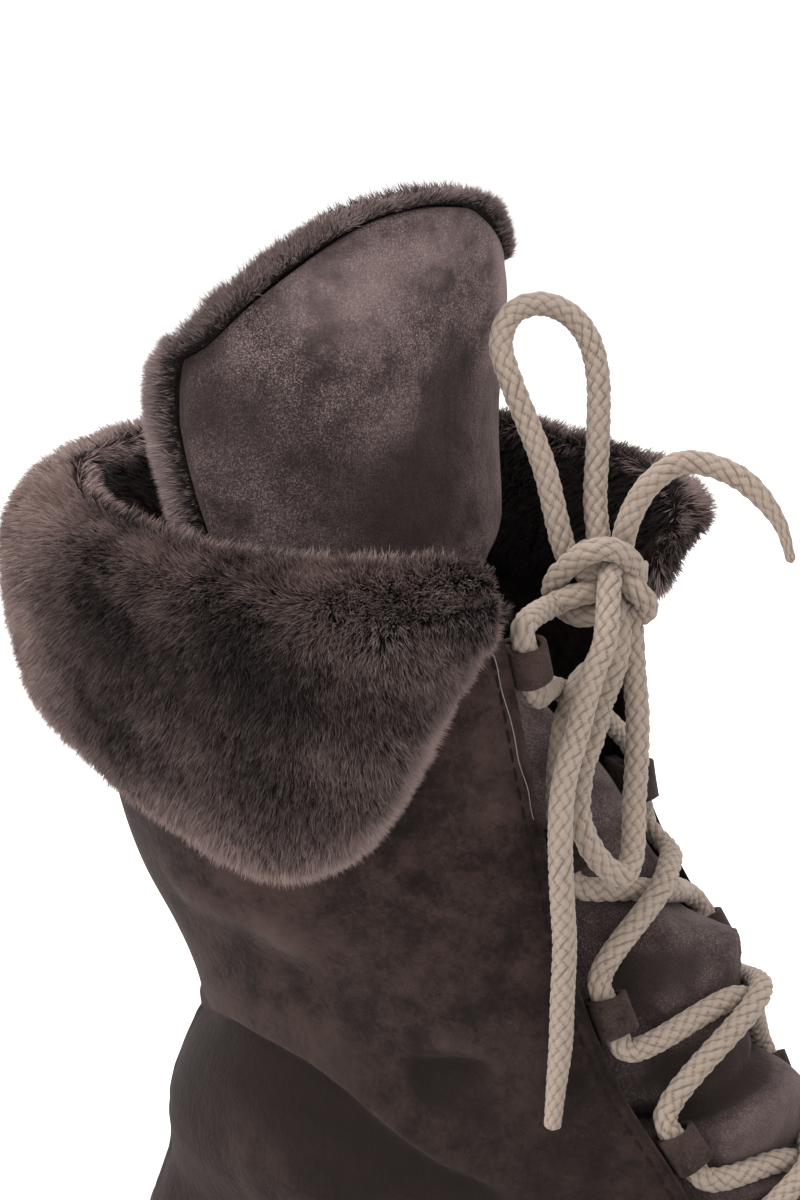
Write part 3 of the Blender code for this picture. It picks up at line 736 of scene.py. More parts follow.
# height counts from the throat's lower end to the shaft's top
SHAFT = [
    Section(0.00, 0.060, 0.447, 0.690, 0.33, 0.345, 0.023, 2.3, 2.2),
    Section(0.06, 0.068, 0.410, 0.648, 0.42, 0.300, 0.065, 2.4, 2.2),
    Section(0.13, 0.078, 0.378, 0.610, 0.52, 0.250, 0.117, 2.4, 2.2),
    Section(0.20, 0.089, 0.356, 0.572, 0.60, 0.190, 0.178, 2.5, 2.2),
    Section(0.28, 0.100, 0.332, 0.543, 0.67, 0.130, 0.240, 2.5, 2.2),
    Section(0.36, 0.102, 0.314, 0.515, 0.74, 0.070, 0.307, 2.5, 2.2),
    Section(0.45, 0.071, 0.292, 0.490, 0.78, 0.030, 0.361, 2.5, 2.2),
    Section(0.54, 0.040, 0.272, 0.468, 0.76, 0, 0.413, 2.5, 2.2),
    Section(0.64, 0.023, 0.256, 0.450, 0.72, 0, 0.438, 2.5, 2.2),
    Section(0.76, 0.017, 0.244, 0.436, 0.77, 0, 0.460, 2.5, 2.2),
    Section(0.88, 0.008, 0.236, 0.425, 0.82, 0, 0.483, 2.5, 2.2),
    Section(1.00, 0.003, 0.230, 0.424, 1.00, 0, 0.500, 2.5, 2.2),
]


def curve_through(rows: Array, at: float) -> Array:
    """A table's values at a place in its first column, on a smooth curve through its rows.

    Args:
        rows: the table, sorted by its first column.
        at: the place.

    Returns:
        One row of values.
    """
    places = rows[:, 0]
    at = min(max(at, places[0]), places[-1])
    i = min(max(int(np.searchsorted(places, at)) - 1, 0), len(rows) - 2)
    span = places[i + 1] - places[i]
    slopes = []
    for k in (i, i + 1):
        low, high = max(k - 1, 0), min(k + 1, len(rows) - 1)
        slopes.append((rows[high] - rows[low]) / (places[high] - places[low]))
    t = (at - places[i]) / span
    return (
        rows[i] * (2 * t**3 - 3 * t**2 + 1)
        + rows[i + 1] * (3 * t**2 - 2 * t**3)
        + slopes[0] * span * (t**3 - 2 * t**2 + t)
        + slopes[1] * span * (t**3 - t**2)
    )


@dataclass(frozen=True)
class Last:
    """The boot's form: the outer face of its shell at every height, and the line of its sole."""

    foot_length: float = 0.262
    ball_width: float = 0.096
    collar_width: float = 0.103
    instep_height: float = 0.060
    shaft_height: float = 0.208
    throat_width: float = 0.073
    wall: float = 0.003
    gap: float = 0.0003
    heel_height: float = 0.024
    sole_thickness: float = 0.013
    toe_spring: float = 0.008
    arch_rise: float = 0.007
    welt: float = 0.0035
    toe_skew: float = 0.008
    waist_at: float = 0.38
    waist_length: float = 0.15
    waist_in: tuple[float, float] = (0.13, 0.28)
    heel_front: float = 0.25
    arch_end: float = 0.48
    tread_end: float = 0.78
    ball_at: float = 0.64
    angles: int = 481

    @lru_cache(maxsize=None)
    def rows(self) -> Array:
        """All contours, each with its real height first.

        Returns:
            One row a contour, with the columns of Section.
        """
        shaft = self.shaft_height - self.instep_height
        foot = [[row.height * self.instep_height, *row[1:]] for row in FOOT]
        upper = [[self.instep_height + row.height * shaft, *row[1:]] for row in SHAFT]
        return np.array(foot + upper)

    @lru_cache(maxsize=None)
    def origin(self) -> tuple[float, float, float]:
        """Where the heel's back lies in the model's frame, from the place of the sole.

        Returns:
            Its place in the model's frame.
        """
        rim = turned_in(self.ring(0.0, 18)[:-1], -self.welt)
        low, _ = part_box("outsole")
        return (low.x - rim[:, 0].min(), low.y - rim[:, 1].min(), 0.0)

    def sole_top(self, x: Array | float) -> Array | float:
        """Height of the sole's upper face.

        Args:
            x: places along the foot.

        Returns:
            The heights there.
        """
        slope = (x / self.foot_length - self.heel_front) / (self.ball_at - self.heel_front)
        toe = np.maximum((x / self.foot_length - self.tread_end) / (1 - self.tread_end), 0.0)
        heel = self.heel_height - self.sole_thickness
        return self.sole_thickness + heel * (1 - smoothstep(slope)) + self.toe_spring * toe**1.5

    def sole_bottom(self, x: Array) -> Array:
        """Height of the sole's lower face: flat under heel and forefoot, hollow at the arch.

        Args:
            x: places along the foot.

        Returns:
            The heights there.
        """
        share = np.asarray(x) / self.foot_length
        breast = smoothstep((share - self.heel_front) / 0.03)
        fall = smoothstep((share - self.heel_front - 0.06) / (self.arch_end - self.heel_front - 0.06))
        toe = np.maximum((share - self.tread_end) / (1 - self.tread_end), 0.0)
        hollow = self.arch_rise * breast * (1 - fall)
        return np.where(share < self.arch_end, hollow, self.toe_spring * toe**1.5)

    @lru_cache(maxsize=None)
    def contour(self, height: float, side: int) -> tuple[Array, Array]:
        """Points of one side's contour from the front's middle to the back, and the way to each.

        Args:
            height: the contour's height above the sole.
            side: the sign of y.

        Returns:
            The points, and how far along the contour each lies.
        """
        _, back, widest, edge, gap, ball, collar, fore, aft = curve_through(self.rows(), height)
        half = ball * self.ball_width + collar * self.collar_width
        gap *= self.throat_width / 2
        back, widest, edge = (share * self.foot_length for share in (back, widest, edge))
        reach = (edge - widest) / (1 - (gap / half) ** fore) ** (1 / fore)
        low = 1 - smoothstep(height / self.instep_height)
        angle = np.linspace(0, pi, self.angles)
        front = angle <= pi / 2
        power = 2 / np.where(front, fore, aft)
        x = widest + np.where(front, reach, back - widest) * np.abs(np.cos(angle)) ** power
        y = half * np.abs(np.sin(angle)) ** power
        waist = ((x / self.foot_length - self.waist_at) / self.waist_length) ** 2
        y *= 1 - self.waist_in[side > 0] * low * np.exp(-waist)
        skew = self.toe_skew * smoothstep((x / self.foot_length - 0.6) / 0.4) * (0.4 + 0.6 * low)
        lift = 1 - smoothstep(height / (1.5 * self.instep_height))
        points = np.stack([x, side * y + skew, height + (self.sole_top(x) + self.gap) * lift], axis=1)
        return points, ways_along(points[:, :2])

    def outer(self, height: float, side: int, along: Array) -> Array:
        """Points of the shell's outer face, these ways along its contour from the middle of the front.

        Args:
            height: the contour's height.
            side: the sign of y.
            along: ways along the contour, on the other side below 0.

        Returns:
            The points, one row each.
        """
        along = np.atleast_1d(along)
        found = np.zeros((len(along), 3))
        for sign in (1, -1):
            points, lengths = self.contour(round(height, 7), side * sign)
            mine = (along >= 0) if sign == 1 else (along < 0)
            for k in range(3):
                found[mine, k] = np.interp(np.abs(along[mine]), lengths, points[:, k])
        return found

    def throat(self, height: float, side: int) -> float:
        """How far along its contour the throat's edge lies.

        Args:
            height: the contour's height.
            side: the sign of y.

        Returns:
            The way along the contour.
        """
        points, lengths = self.contour(round(height, 7), side)
        gap = curve_through(self.rows(), height)[4] * self.throat_width / 2
        front = len(points) // 2
        return float(np.interp(gap, side * (points[:front, 1] - points[0, 1]), lengths[:front]))

    def ring(self, height: float, columns: int) -> Array:
        """Points round the shell from the outer throat edge by the back to the inner one.

        Args:
            height: the ring's height.
            columns: how many steps each side has.

        Returns:
            The points, and last the front's middle.
        """
        ring = []
        for side in Side:
            start, whole = self.throat(height, side), self.contour(round(height, 7), side)[1][-1]
            line = self.outer(height, side, start + (whole - start) * np.linspace(0, 1, columns + 1))
            ring.append(line if side is Side.OUTER else line[-2::-1])
        return np.vstack([*ring, self.outer(height, Side.OUTER, np.zeros(1))])


LAST = Last()


def turned_in(ring: Array, depth: float) -> Array:
    """A closed ring of points moved inward in plan.

    Args:
        ring: the ring's points.
        depth: how far inward.

    Returns:
        The moved points.
    """
    tangent = np.roll(ring, -1, axis=0) - np.roll(ring, 1, axis=0)
    inward = np.stack([tangent[:, 1], -tangent[:, 0], np.zeros(len(ring))], axis=1)
    return ring + unit(inward) * depth


def face_out(
    surface: Callable[[float, int, Array], Array],
    height: float,
    side: int,
    along: Array,
    step: float = 0.0012,
) -> Array:
    """Outward directions of a surface given as a function of height, side and the way along.

    Args:
        surface: the surface.
        height: the height.
        side: the sign of y.
        along: the ways along it.
        step: how far apart it is sampled.

    Returns:
        Unit vectors.
    """
    round_it = surface(height, side, along + step) - surface(height, side, along - step)
    up = surface(height + step, side, along) - surface(height - step, side, along)
    return unit(np.cross(round_it, up) * side)


# ---------------------------------------------------------------- fur


@dataclass(frozen=True)
class Coat:
    """A coat of fur: how it grows from a base, and how its locks gather."""

    length: float = 0.0062
    width: float = 0.00034
    lift: float = 0.80
    lay: float = 0.60
    stray: float = 0.26
    lock: float = 0.0036
    gather: float = 0.30
    swirl: float = 0.55
    seed: int = 7

    def grow(
        self,
        name: str,
        points: Array,
        faces: Array,
        normals: Array,
        flow: Array,
        share: Array,
        pale: Array,
        count: int,
        finish: bpy.types.Material,
        slot: str,
    ) -> bpy.types.Object:
        """Grows hairs from a base of quads, whose values may come as grids or as rows.

        Args:
            name: the piece's name.
            points: the base's points.
            faces: its quads.
            normals: outward directions at its points.
            flow: the lay's directions at its points.
            share: how long the fur is at each point, from 0 for none to 1.
            pale: how much lighter the tips are at each point, painted rim light and painted shade
                included.
            count: how many hairs.
            finish: their material.
            slot: not used.

        Returns:
            The hairs as one piece.
        """
        points, normals, flow = (np.reshape(v, (-1, 3)) for v in (points, normals, flow))
        share, pale = np.ravel(share), np.ravel(pale)
        rng = np.random.default_rng(self.seed)
        corners = points[faces]
        across = np.cross(corners[:, 2] - corners[:, 0], corners[:, 3] - corners[:, 1])
        area = np.linalg.norm(across, axis=1)
        chance = area * share[faces].mean(axis=1)
        picked = rng.choice(len(faces), size=count, p=chance / chance.sum())
        u, v = rng.random((2, count, 1))
        blend = [(1 - u) * (1 - v), u * (1 - v), u * v, (1 - u) * v]

        def spread(values: Array) -> Array:
            """Values at the hairs' roots."""
            return sum(values[faces[picked, k]] * blend[k] for k in range(4))

        root = spread(points)
        out, lay = unit(spread(normals)), unit(spread(flow))
        turn = np.sin(root @ (310, 190, 250)) * np.sin(root @ (-170, 260, 330))
        lay = unit(lay + np.cross(out, lay) * (self.swirl * turn)[:, None])
        length = spread(share[:, None]) * self.length * rng.uniform(0.66, 1.1, (count, 1))
        away = unit(out * self.lift + lay * self.lay + rng.normal(0, self.stray, (count, 3)))
        tip = root + away * length
        centres = rng.choice(count, size=max(int(area.sum() / self.lock**2), 8), replace=False)
        locks = KDTree(len(centres))
        for i, k in enumerate(centres):
            locks.insert(root[k], i)
        locks.balance()
        nearest = np.array([locks.find(p)[1] for p in root])
        pull = self.gather * rng.uniform(0.4, 1.4, (len(centres), 1))[nearest]
        tip += (tip[centres][nearest] - tip) * pull
        side = unit(np.cross(away, rng.normal(0, 1, (count, 3)))) * self.width / 2
        hair = np.stack([root - side, root + side, tip], axis=1)
        tone = 0.45 * rng.random(len(centres))[nearest] + 0.55 * rng.random(count)
        tone = tone + spread(pale[:, None])[:, 0]
        return mesh_piece(
            name,
            hair,
            np.arange(count * 3).reshape(-1, 3),
            finish,
            slot,
            along=np.tile([0.0, 0.0, 1.0], count),
            tone=np.repeat(tone, 3),
        )


# ---------------------------------------------------------------- stitches


@dataclass(frozen=True)
class Stitching:
    """A row of stitches that dip into the leather at their ends."""

    length: float = 0.0030
    gap: float = 0.0008
    radius: float = 0.00035
    sides: int = 6

    def sew(
        self, name: str, runs: Sequence[tuple[Array, Array]], finish: bpy.types.Material, slot: str
    ) -> bpy.types.Object:
        """Sews along lines.

        Args:
            name: the piece's name.
            runs: each a line of points and the outward directions at them.
            finish: the thread's material.
            slot: not used.

        Returns:
            All the stitches as one piece.
        """
        shares = np.array([0.0, 0.12, 0.35, 0.65, 0.88, 1.0])
        rise = np.array([-0.6, 0.3, 0.9, 0.9, 0.3, -0.6])
        thick = np.array([0.35, 0.8, 1.0, 1.0, 0.8, 0.35])
        template = grid_faces(len(shares), self.sides, closed=True)
        points, faces = [], []
        for line, normals in runs:
            way = ways_along(line)
            starts = np.arange(0.0, way[-1] - self.length, self.length + self.gap)
            for start in starts:
                at = start + shares * self.length
                spine = np.stack([np.interp(at, way, line[:, k]) for k in range(3)], axis=1)
                out = unit(np.stack([np.interp(at, way, normals[:, k]) for k in range(3)], axis=1))
                beside = unit(np.cross(unit(np.gradient(spine, axis=0)), out))
                spine = spine + out * (rise * self.radius)[:, None]
                size = (thick * self.radius)[:, None, None]
                faces.append(template + len(points) * len(shares) * self.sides)
                ring = circles(beside, out, self.sides)
                points.append((spine[:, None] + ring * size).reshape(-1, 3))
        return mesh_piece(name, np.vstack(points), np.vstack(faces), finish, slot)


# ---------------------------------------------------------------- the shell


class Crease(NamedTuple):
    """A soft fold along a line, in millimetres from the heel's back; it may drop into a hollow below."""

    line: tuple[tuple[float, float, float], ...]
    depth: float
    width: float
    under: float = 0.0
    sharp: float = 1.0
    hollow: float = 2.0


CREASES = [
    # the long fold from the ankle's notch down to the throat: a lit slab over a shaded hollow
    Crease(((21, -2, 113), (27, -13, 111), (35, -22, 110), (50, -33, 114), (65, -37, 113), (76, -38, 111),
            (88, -38, 105)), 2.3, 10.0, 3.8, 0.28, 1.4),
    Crease(((68, -37, 113), (80, -38, 109), (89, -37, 104), (101, -37, 98), (110, -36, 96),
            (120, -33, 92)), 1.5, 7.5, 2.2, 0.30, 1.5),
    Crease(((36, -32, 144), (44, -39, 141), (60, -42, 140), (70, -42, 137), (80, -42, 136)),
           1.5, 6.5, 1.2, 0.6, 1.6),
    Crease(((91, -39, 118), (102, -38, 121), (114, -36, 122)), 1.3, 4.5, 2.4, 0.45, 1.9),
    Crease(((52, -30, 79), (66, -35, 84), (84, -37, 81)), 1.0, 9.0, 0.8, 0.7, 1.5),
    Crease(((86, -40, 158), (98, -38, 152), (110, -34, 150)), 0.7, 6.0, 0.7, 0.7, 1.6),
    # the same wear on the inner side
    Crease(((22, 3, 113), (28, 14, 111), (36, 22, 111), (50, 33, 115), (65, 37, 113), (78, 38, 108),
            (94, 38, 100)), 1.9, 9.0, 2.6, 0.32, 1.6),
    Crease(((44, 39, 144), (58, 42, 141), (72, 42, 138)), 1.2, 7.0, 1.0, 0.6, 1.6),
    Crease(((90, 38, 122), (102, 37, 125)), 0.8, 6.0, 1.0, 0.6, 1.8),
    # where the foot bends
    Crease(((148, -43, 44), (154, -34, 62), (162, -18, 74)), -1.1, 5.0),
    Crease(((161, -44, 42), (168, -32, 59), (176, -14, 67)), -0.9, 4.5),
    Crease(((150, 46, 44), (158, 34, 62), (165, 18, 73)), -1.0, 5.0),
]
# height, and how far the back of the shell stands out there
HEEL = np.array(
    [(0.020, 0), (0.035, -0.0006), (0.046, -0.0014), (0.056, 0.0002), (0.065, 0.0026), (0.072, 0.0042),
     (0.078, 0.0058), (0.084, 0.0062), (0.091, 0.0056), (0.099, 0.0046), (0.106, 0.0022),
     (0.112, -0.0004), (0.120, 0)]
)


class Shade(NamedTuple):
    """A patch of painted light on the suede, or of painted shade below 0, in millimetres from the heel's
    back.
    """

    x: float
    y: float
    z: float
    reach: float
    amount: float


# patches of painted light, above 0, and painted shade, below 0
SHADES = [
    Shade(37, -24, 109, 7, -0.9), Shade(47, -31, 107, 9, -1.1), Shade(64, -36, 106, 9, -0.9),
    Shade(99, -38, 114, 6, -1.1), Shade(76, -39, 120, 10, 0.35), Shade(102, -38, 122, 4.5, 0.5),
    Shade(66, -42, 138, 9, 0.35), Shade(108, -34, 178, 18, 0.55), Shade(32, -20, 81, 20, -0.7),
    Shade(78, -36, 86, 22, -0.65), Shade(108, -36, 98, 10, -0.3), Shade(47, 31, 107, 12, -0.8),
    Shade(60, 40, 136, 10, 0.3),
]


def toned(points: Array, shades: Sequence[Shade]) -> Array:
    """How much painted light, above 0, or painted shade, below 0, these patches give each point.

    Args:
        points: points, from the heel's back.
        shades: the patches.

    Returns:
        One value a point.
    """
    total = np.zeros(len(points))
    for shade in shades:
        away = np.linalg.norm(points * 1000 - (shade.x, shade.y, shade.z), axis=1)
        total += shade.amount * np.exp(-((away / shade.reach) ** 2))
    return total


def folded(points: Array, creases: Sequence[Crease]) -> Array:
    """How far creases move each point outward, in metres.

    Args:
        points: points, from the heel's back.
        creases: the creases.

    Returns:
        How far each point moves.
    """
    moved = np.zeros(len(points))
    for crease in creases:
        line = smooth_line([Vector(p) / 1000 for p in crease.line], 0.002)
        near = np.full(len(points), np.inf)
        end, above = np.zeros(len(points)), np.ones(len(points))
        for i, (a, b) in enumerate(zip(line[:-1], line[1:])):
            step = b - a
            t = np.clip((points - a) @ step / (step @ step), 0, 1)
            offset = points - a - t[:, None] * step
            away = np.linalg.norm(offset, axis=1)
            closer = away < near
            near = np.where(closer, away, near)
            up = np.array([0, 0, 1]) - step * step[2] / (step @ step)
            above = np.where(closer, offset @ up, above)
            end = np.where(closer, (i + t) / (len(line) - 1), end)
        fade = smoothstep(end / 0.25) * smoothstep((1 - end) / 0.25)
        share = near * 1000 / crease.width
        upper = crease.depth * np.exp(-(share**2))
        lower = (crease.depth + crease.under) * np.exp(-((share / crease.sharp) ** 2))
        lower -= crease.under * np.exp(-((share / crease.hollow) ** 2))
        moved += np.where(above >= 0, upper, lower) / 1000 * fade
    return moved


@dataclass
class Shell:
    """Foot and shaft: a suede skin over a fleece lining, with its seams."""

    suede: bpy.types.Material
    lining: bpy.types.Material
    thread: bpy.types.Material
    stray: bpy.types.Material
    columns: int = 112
    foot_rows: int = 38
    shaft_rows: int = 112
    front: int = 16
    skin: float = 0.0014
    lasting: float = 0.012
    strip: float = 0.0085
    seam_in: float = 0.0024
    stitch_radius: float = 0.00024
    stray_radius: float = 0.00010
    slot: str = "suede"
    grid: Array = field(init=False)
    skin_normals: Array = field(init=False)
    depth: Array = field(init=False)

    def rows(self) -> list[float]:
        """Heights of the mesh's rows.

        Returns:
            The heights, from the sole up.
        """
        foot = np.linspace(0, LAST.instep_height, self.foot_rows)
        shaft = np.linspace(LAST.instep_height, LAST.shaft_height, self.shaft_rows)[1:]
        return [*foot, *shaft]

    def wrapped(self) -> tuple[Array, Array, Array]:
        """The skin's points, its quads and how deep each point is folded, as a mark of painted light and
        shade.

        Returns:
            The points, the quads, and the mark named fold at each point, which carries painted shade in
            the creases and the painted patches.
        """
        heights = self.rows()
        rings, fronts = [], []
        for height in heights:
            rings.append(LAST.ring(height, self.columns)[:-1])
            start = {side: LAST.throat(height, side) for side in Side}
            shares = np.linspace(-1, 1, self.front + 1)[1:-1]
            across = np.where(shares < 0, shares * start[Side.INNER], shares * start[Side.OUTER])
            fronts.append(LAST.outer(height, Side.OUTER, across))
        grid = np.array(rings)
        normals = grid_normals(grid)
        if normals[len(heights) // 3, 0, 1] > 0:
            normals = -normals
        depth = folded(grid.reshape(-1, 3), CREASES).reshape(grid.shape[:2])
        round_it = np.abs(np.arange(grid.shape[1]) - grid.shape[1] // 2) / self.columns
        heel = np.interp(grid[..., 2], HEEL[:, 0], HEEL[:, 1])
        heel = heel * (1 - smoothstep((round_it - 0.40) / 0.35))
        # painted shade in the creases' hollows and painted highlights with rubbed wear on their ridges,
        # plus the painted patches
        fold = depth / 0.0028 + toned(grid.reshape(-1, 3), SHADES).reshape(depth.shape)
        depth += self.seams(grid, heights) + heel
        self.skin_normals = normals
        self.depth = depth
        self.grid = grid + normals * depth[..., None]
        count = grid.shape[1]
        closed = self.foot_rows
        faces = [grid_faces(len(heights), count)]
        base = grid.shape[0] * count
        front = np.array(fronts[:closed])
        width = front.shape[1]
        index = base + np.arange(closed * width).reshape(closed, width)
        rows = np.arange(closed) * count
        index = np.hstack([(rows + count - 1)[:, None], index, rows[:, None]])
        quads = [index[:-1, :-1], index[:-1, 1:], index[1:, 1:], index[1:, :-1]]
        faces.append(np.stack(quads, axis=-1).reshape(-1, 4))
        points = np.vstack([self.grid.reshape(-1, 3), front.reshape(-1, 3)])
        return points, np.vstack(faces), np.concatenate([fold.ravel(), np.zeros(front.size // 3)])

    def seams(self, grid: Array, heights: Sequence[float]) -> Array:
        """Relief of the sewn edges: the throat's hem and the strip up the heel.

        Args:
            grid: the skin's points.
            heights: the height of each row.

        Returns:
            How far each point moves outward.
        """
        relief = np.zeros(grid.shape[:2])
        way = ways_along(grid)
        shaft = smoothstep((np.array(heights) - LAST.instep_height) / 0.004)[:, None]
        for edge in (way, way[:, -1:] - way):
            relief -= 0.0004 * np.exp(-(((edge - self.seam_in) / 0.0008) ** 2)) * shaft
            relief -= 0.0008 * (1 - smoothstep(edge / 0.0015)) * shaft
        middle = grid.shape[1] // 2
        beside = np.abs(way - way[:, middle : middle + 1])
        low = 1 - smoothstep((grid[..., 2] - 0.112) / 0.006)
        relief += 0.0009 * (1 - smoothstep((beside - self.strip) / 0.0012)) * low
        relief -= 0.0005 * np.exp(-((beside / 0.0007) ** 2)) * (1 - low)
        return relief

    def make(self) -> None:
        """Makes the skin, its lining, the lasting edge and the stitches.

        Returns:
            Nothing; the pieces are put into the scene.
        """
        points, faces, fold = self.wrapped()
        skin = mesh_piece("upper_suede", points, faces, self.suede, self.slot, fold=fold)
        thicken(skin, self.skin, rim=True)
        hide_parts("upper")
        deepest = self.depth.copy()
        for axis in (0, 1):
            for step in (-2, -1, 1, 2):
                deepest = np.minimum(deepest, np.roll(deepest, step, axis=axis))
        lower = (deepest - self.depth - self.skin - 0.0003)[..., None]
        inner = (self.grid + self.skin_normals * lower)[::2, ::2]
        lining = sheet("upper_lining", inner, self.lining, "fleece")
        thicken(lining, LAST.wall - self.skin - 0.0004)
        shares = np.linspace(-1, 1, 13)
        heights = self.rows()[: self.foot_rows : 2]
        reach = [max(LAST.throat(height, side) for side in Side) for height in heights]
        front = np.array([LAST.outer(h, Side.OUTER, shares * way) for h, way in zip(heights, reach)])
        inward = grid_normals(front)
        inward *= -np.sign(inward[len(inward) // 2, len(shares) // 2, 0])
        vamp = front + inward * (self.skin + 0.0001)
        inside = sheet("vamp_lining", vamp, self.lining, "fleece")
        thicken(inside, LAST.wall - self.skin - 0.0002, 1.0)
        self.last_edge()
        self.stitch()
        self.loose_thread()

    def last_edge(self) -> None:
        """The edge turned in under the foot, between the sole and the footbed.

        Returns:
            Nothing; the pieces are put into the scene.
        """
        outer = LAST.ring(0.0, 60)
        rings = []
        for depth in np.linspace(0, self.lasting, 5):
            ring = turned_in(outer, depth + 0.0002)
            ring[:, 2] = LAST.sole_top(ring[:, 0]) + LAST.gap
            rings.append(ring)
        piece = sheet("lasting_edge", np.array(rings), self.suede, self.slot, closed=True)
        thicken(piece, 0.0016, 1.0)

    def stitch(self) -> None:
        """Stitches along both throat edges.

        Returns:
            Nothing; the pieces are put into the scene.
        """
        way = ways_along(self.grid)
        runs = []
        for places in (np.full(len(way), self.seam_in), way[:, -1] - self.seam_in):
            line, out = [], []
            for row in range(self.foot_rows + 2, len(way)):
                at = places[row]
                line.append([np.interp(at, way[row], self.grid[row, :, k]) for k in range(3)])
                out.append([np.interp(at, way[row], self.skin_normals[row, :, k]) for k in range(3)])
            runs.append((np.array(line), np.array(out)))
        sewn = Stitching(radius=self.stitch_radius)
        sewn.sew("upper_stitches", runs, self.thread, self.slot)

    def loose_thread(self) -> None:
        """A pale thread that lies loose along the outer throat edge.

        Returns:
            Nothing; the pieces are put into the scene.
        """
        near = self.grid[:, :30]
        way = ways_along(near)
        low, high = 0.166, 0.2005
        beside_edge = ((low, 0.172, 0.182, 0.2), (0.0003, 0.0005, 0.0014, 0.0022))
        line = []
        for row in range(len(near)):
            height = near[row, 0, 2]
            if low < height < high:
                at = float(np.interp(height, *beside_edge)) + 0.0002 * sin(height * 500)
                point = np.array([np.interp(at, way[row], near[row, :, k]) for k in range(3)])
                off = 0.0003 + 0.0002 * sin(height * 700)
                line.append(point + self.skin_normals[row, 2] * off)
        spine = smooth_line(line, 0.0006)
        _, beside, over = tube_frames(spine)
        points = spine[:, None] + circles(beside, over, 6) * self.stray_radius
        sheet("loose_thread", points, self.stray, self.slot, closed=True)


# ---------------------------------------------------------------- the cuff


class CuffRow(NamedTuple):
    """The cuff at one place round the collar, in shares of its sizes."""

    along: float
    drop: float
    flare: float
    inside: float


CUFF = np.array(
    [
        CuffRow(0.00, 0.20, 0.60, 0.35),
        CuffRow(0.04, 0.40, 0.78, 0.45),
        CuffRow(0.08, 0.70, 0.90, 0.80),
        CuffRow(0.12, 0.88, 1.00, 1.00),
        CuffRow(0.17, 0.95, 0.97, 1.00),
        CuffRow(0.24, 0.86, 0.88, 1.00),
        CuffRow(0.32, 0.72, 0.82, 1.00),
        CuffRow(0.42, 0.64, 0.82, 1.00),
        CuffRow(0.50, 0.65, 0.82, 1.00),
        CuffRow(0.60, 0.70, 0.84, 1.00),
        CuffRow(0.70, 0.82, 0.87, 1.00),
        CuffRow(0.80, 0.86, 0.90, 1.00),
        CuffRow(0.86, 0.60, 0.80, 1.00),
        CuffRow(0.91, 0.38, 0.66, 0.80),
        CuffRow(0.96, 0.42, 0.70, 0.45),
        CuffRow(1.00, 0.42, 0.64, 0.35),
    ]
)
# places round the collar, and how much higher the cuff's fold stands there
RISES = ((0.0, 0.05, 0.12, 0.20, 0.30, 0.42, 0.60, 0.72, 0.82, 0.90, 0.96, 1.0),
         (0.0030, 0.0018, 0, 0, 0.0025, 0.0055, 0.0075, 0.0085, 0.0070, 0.0045, 0.0040, 0.0040))
# the round caps of the cuff's ends, from within: how wide each ring is, and how far out it lies
CAPS = [(0.93, 0.0012), (0.78, 0.0024), (0.50, 0.0033), (0.20, 0.0037), (0.02, 0.0038)]


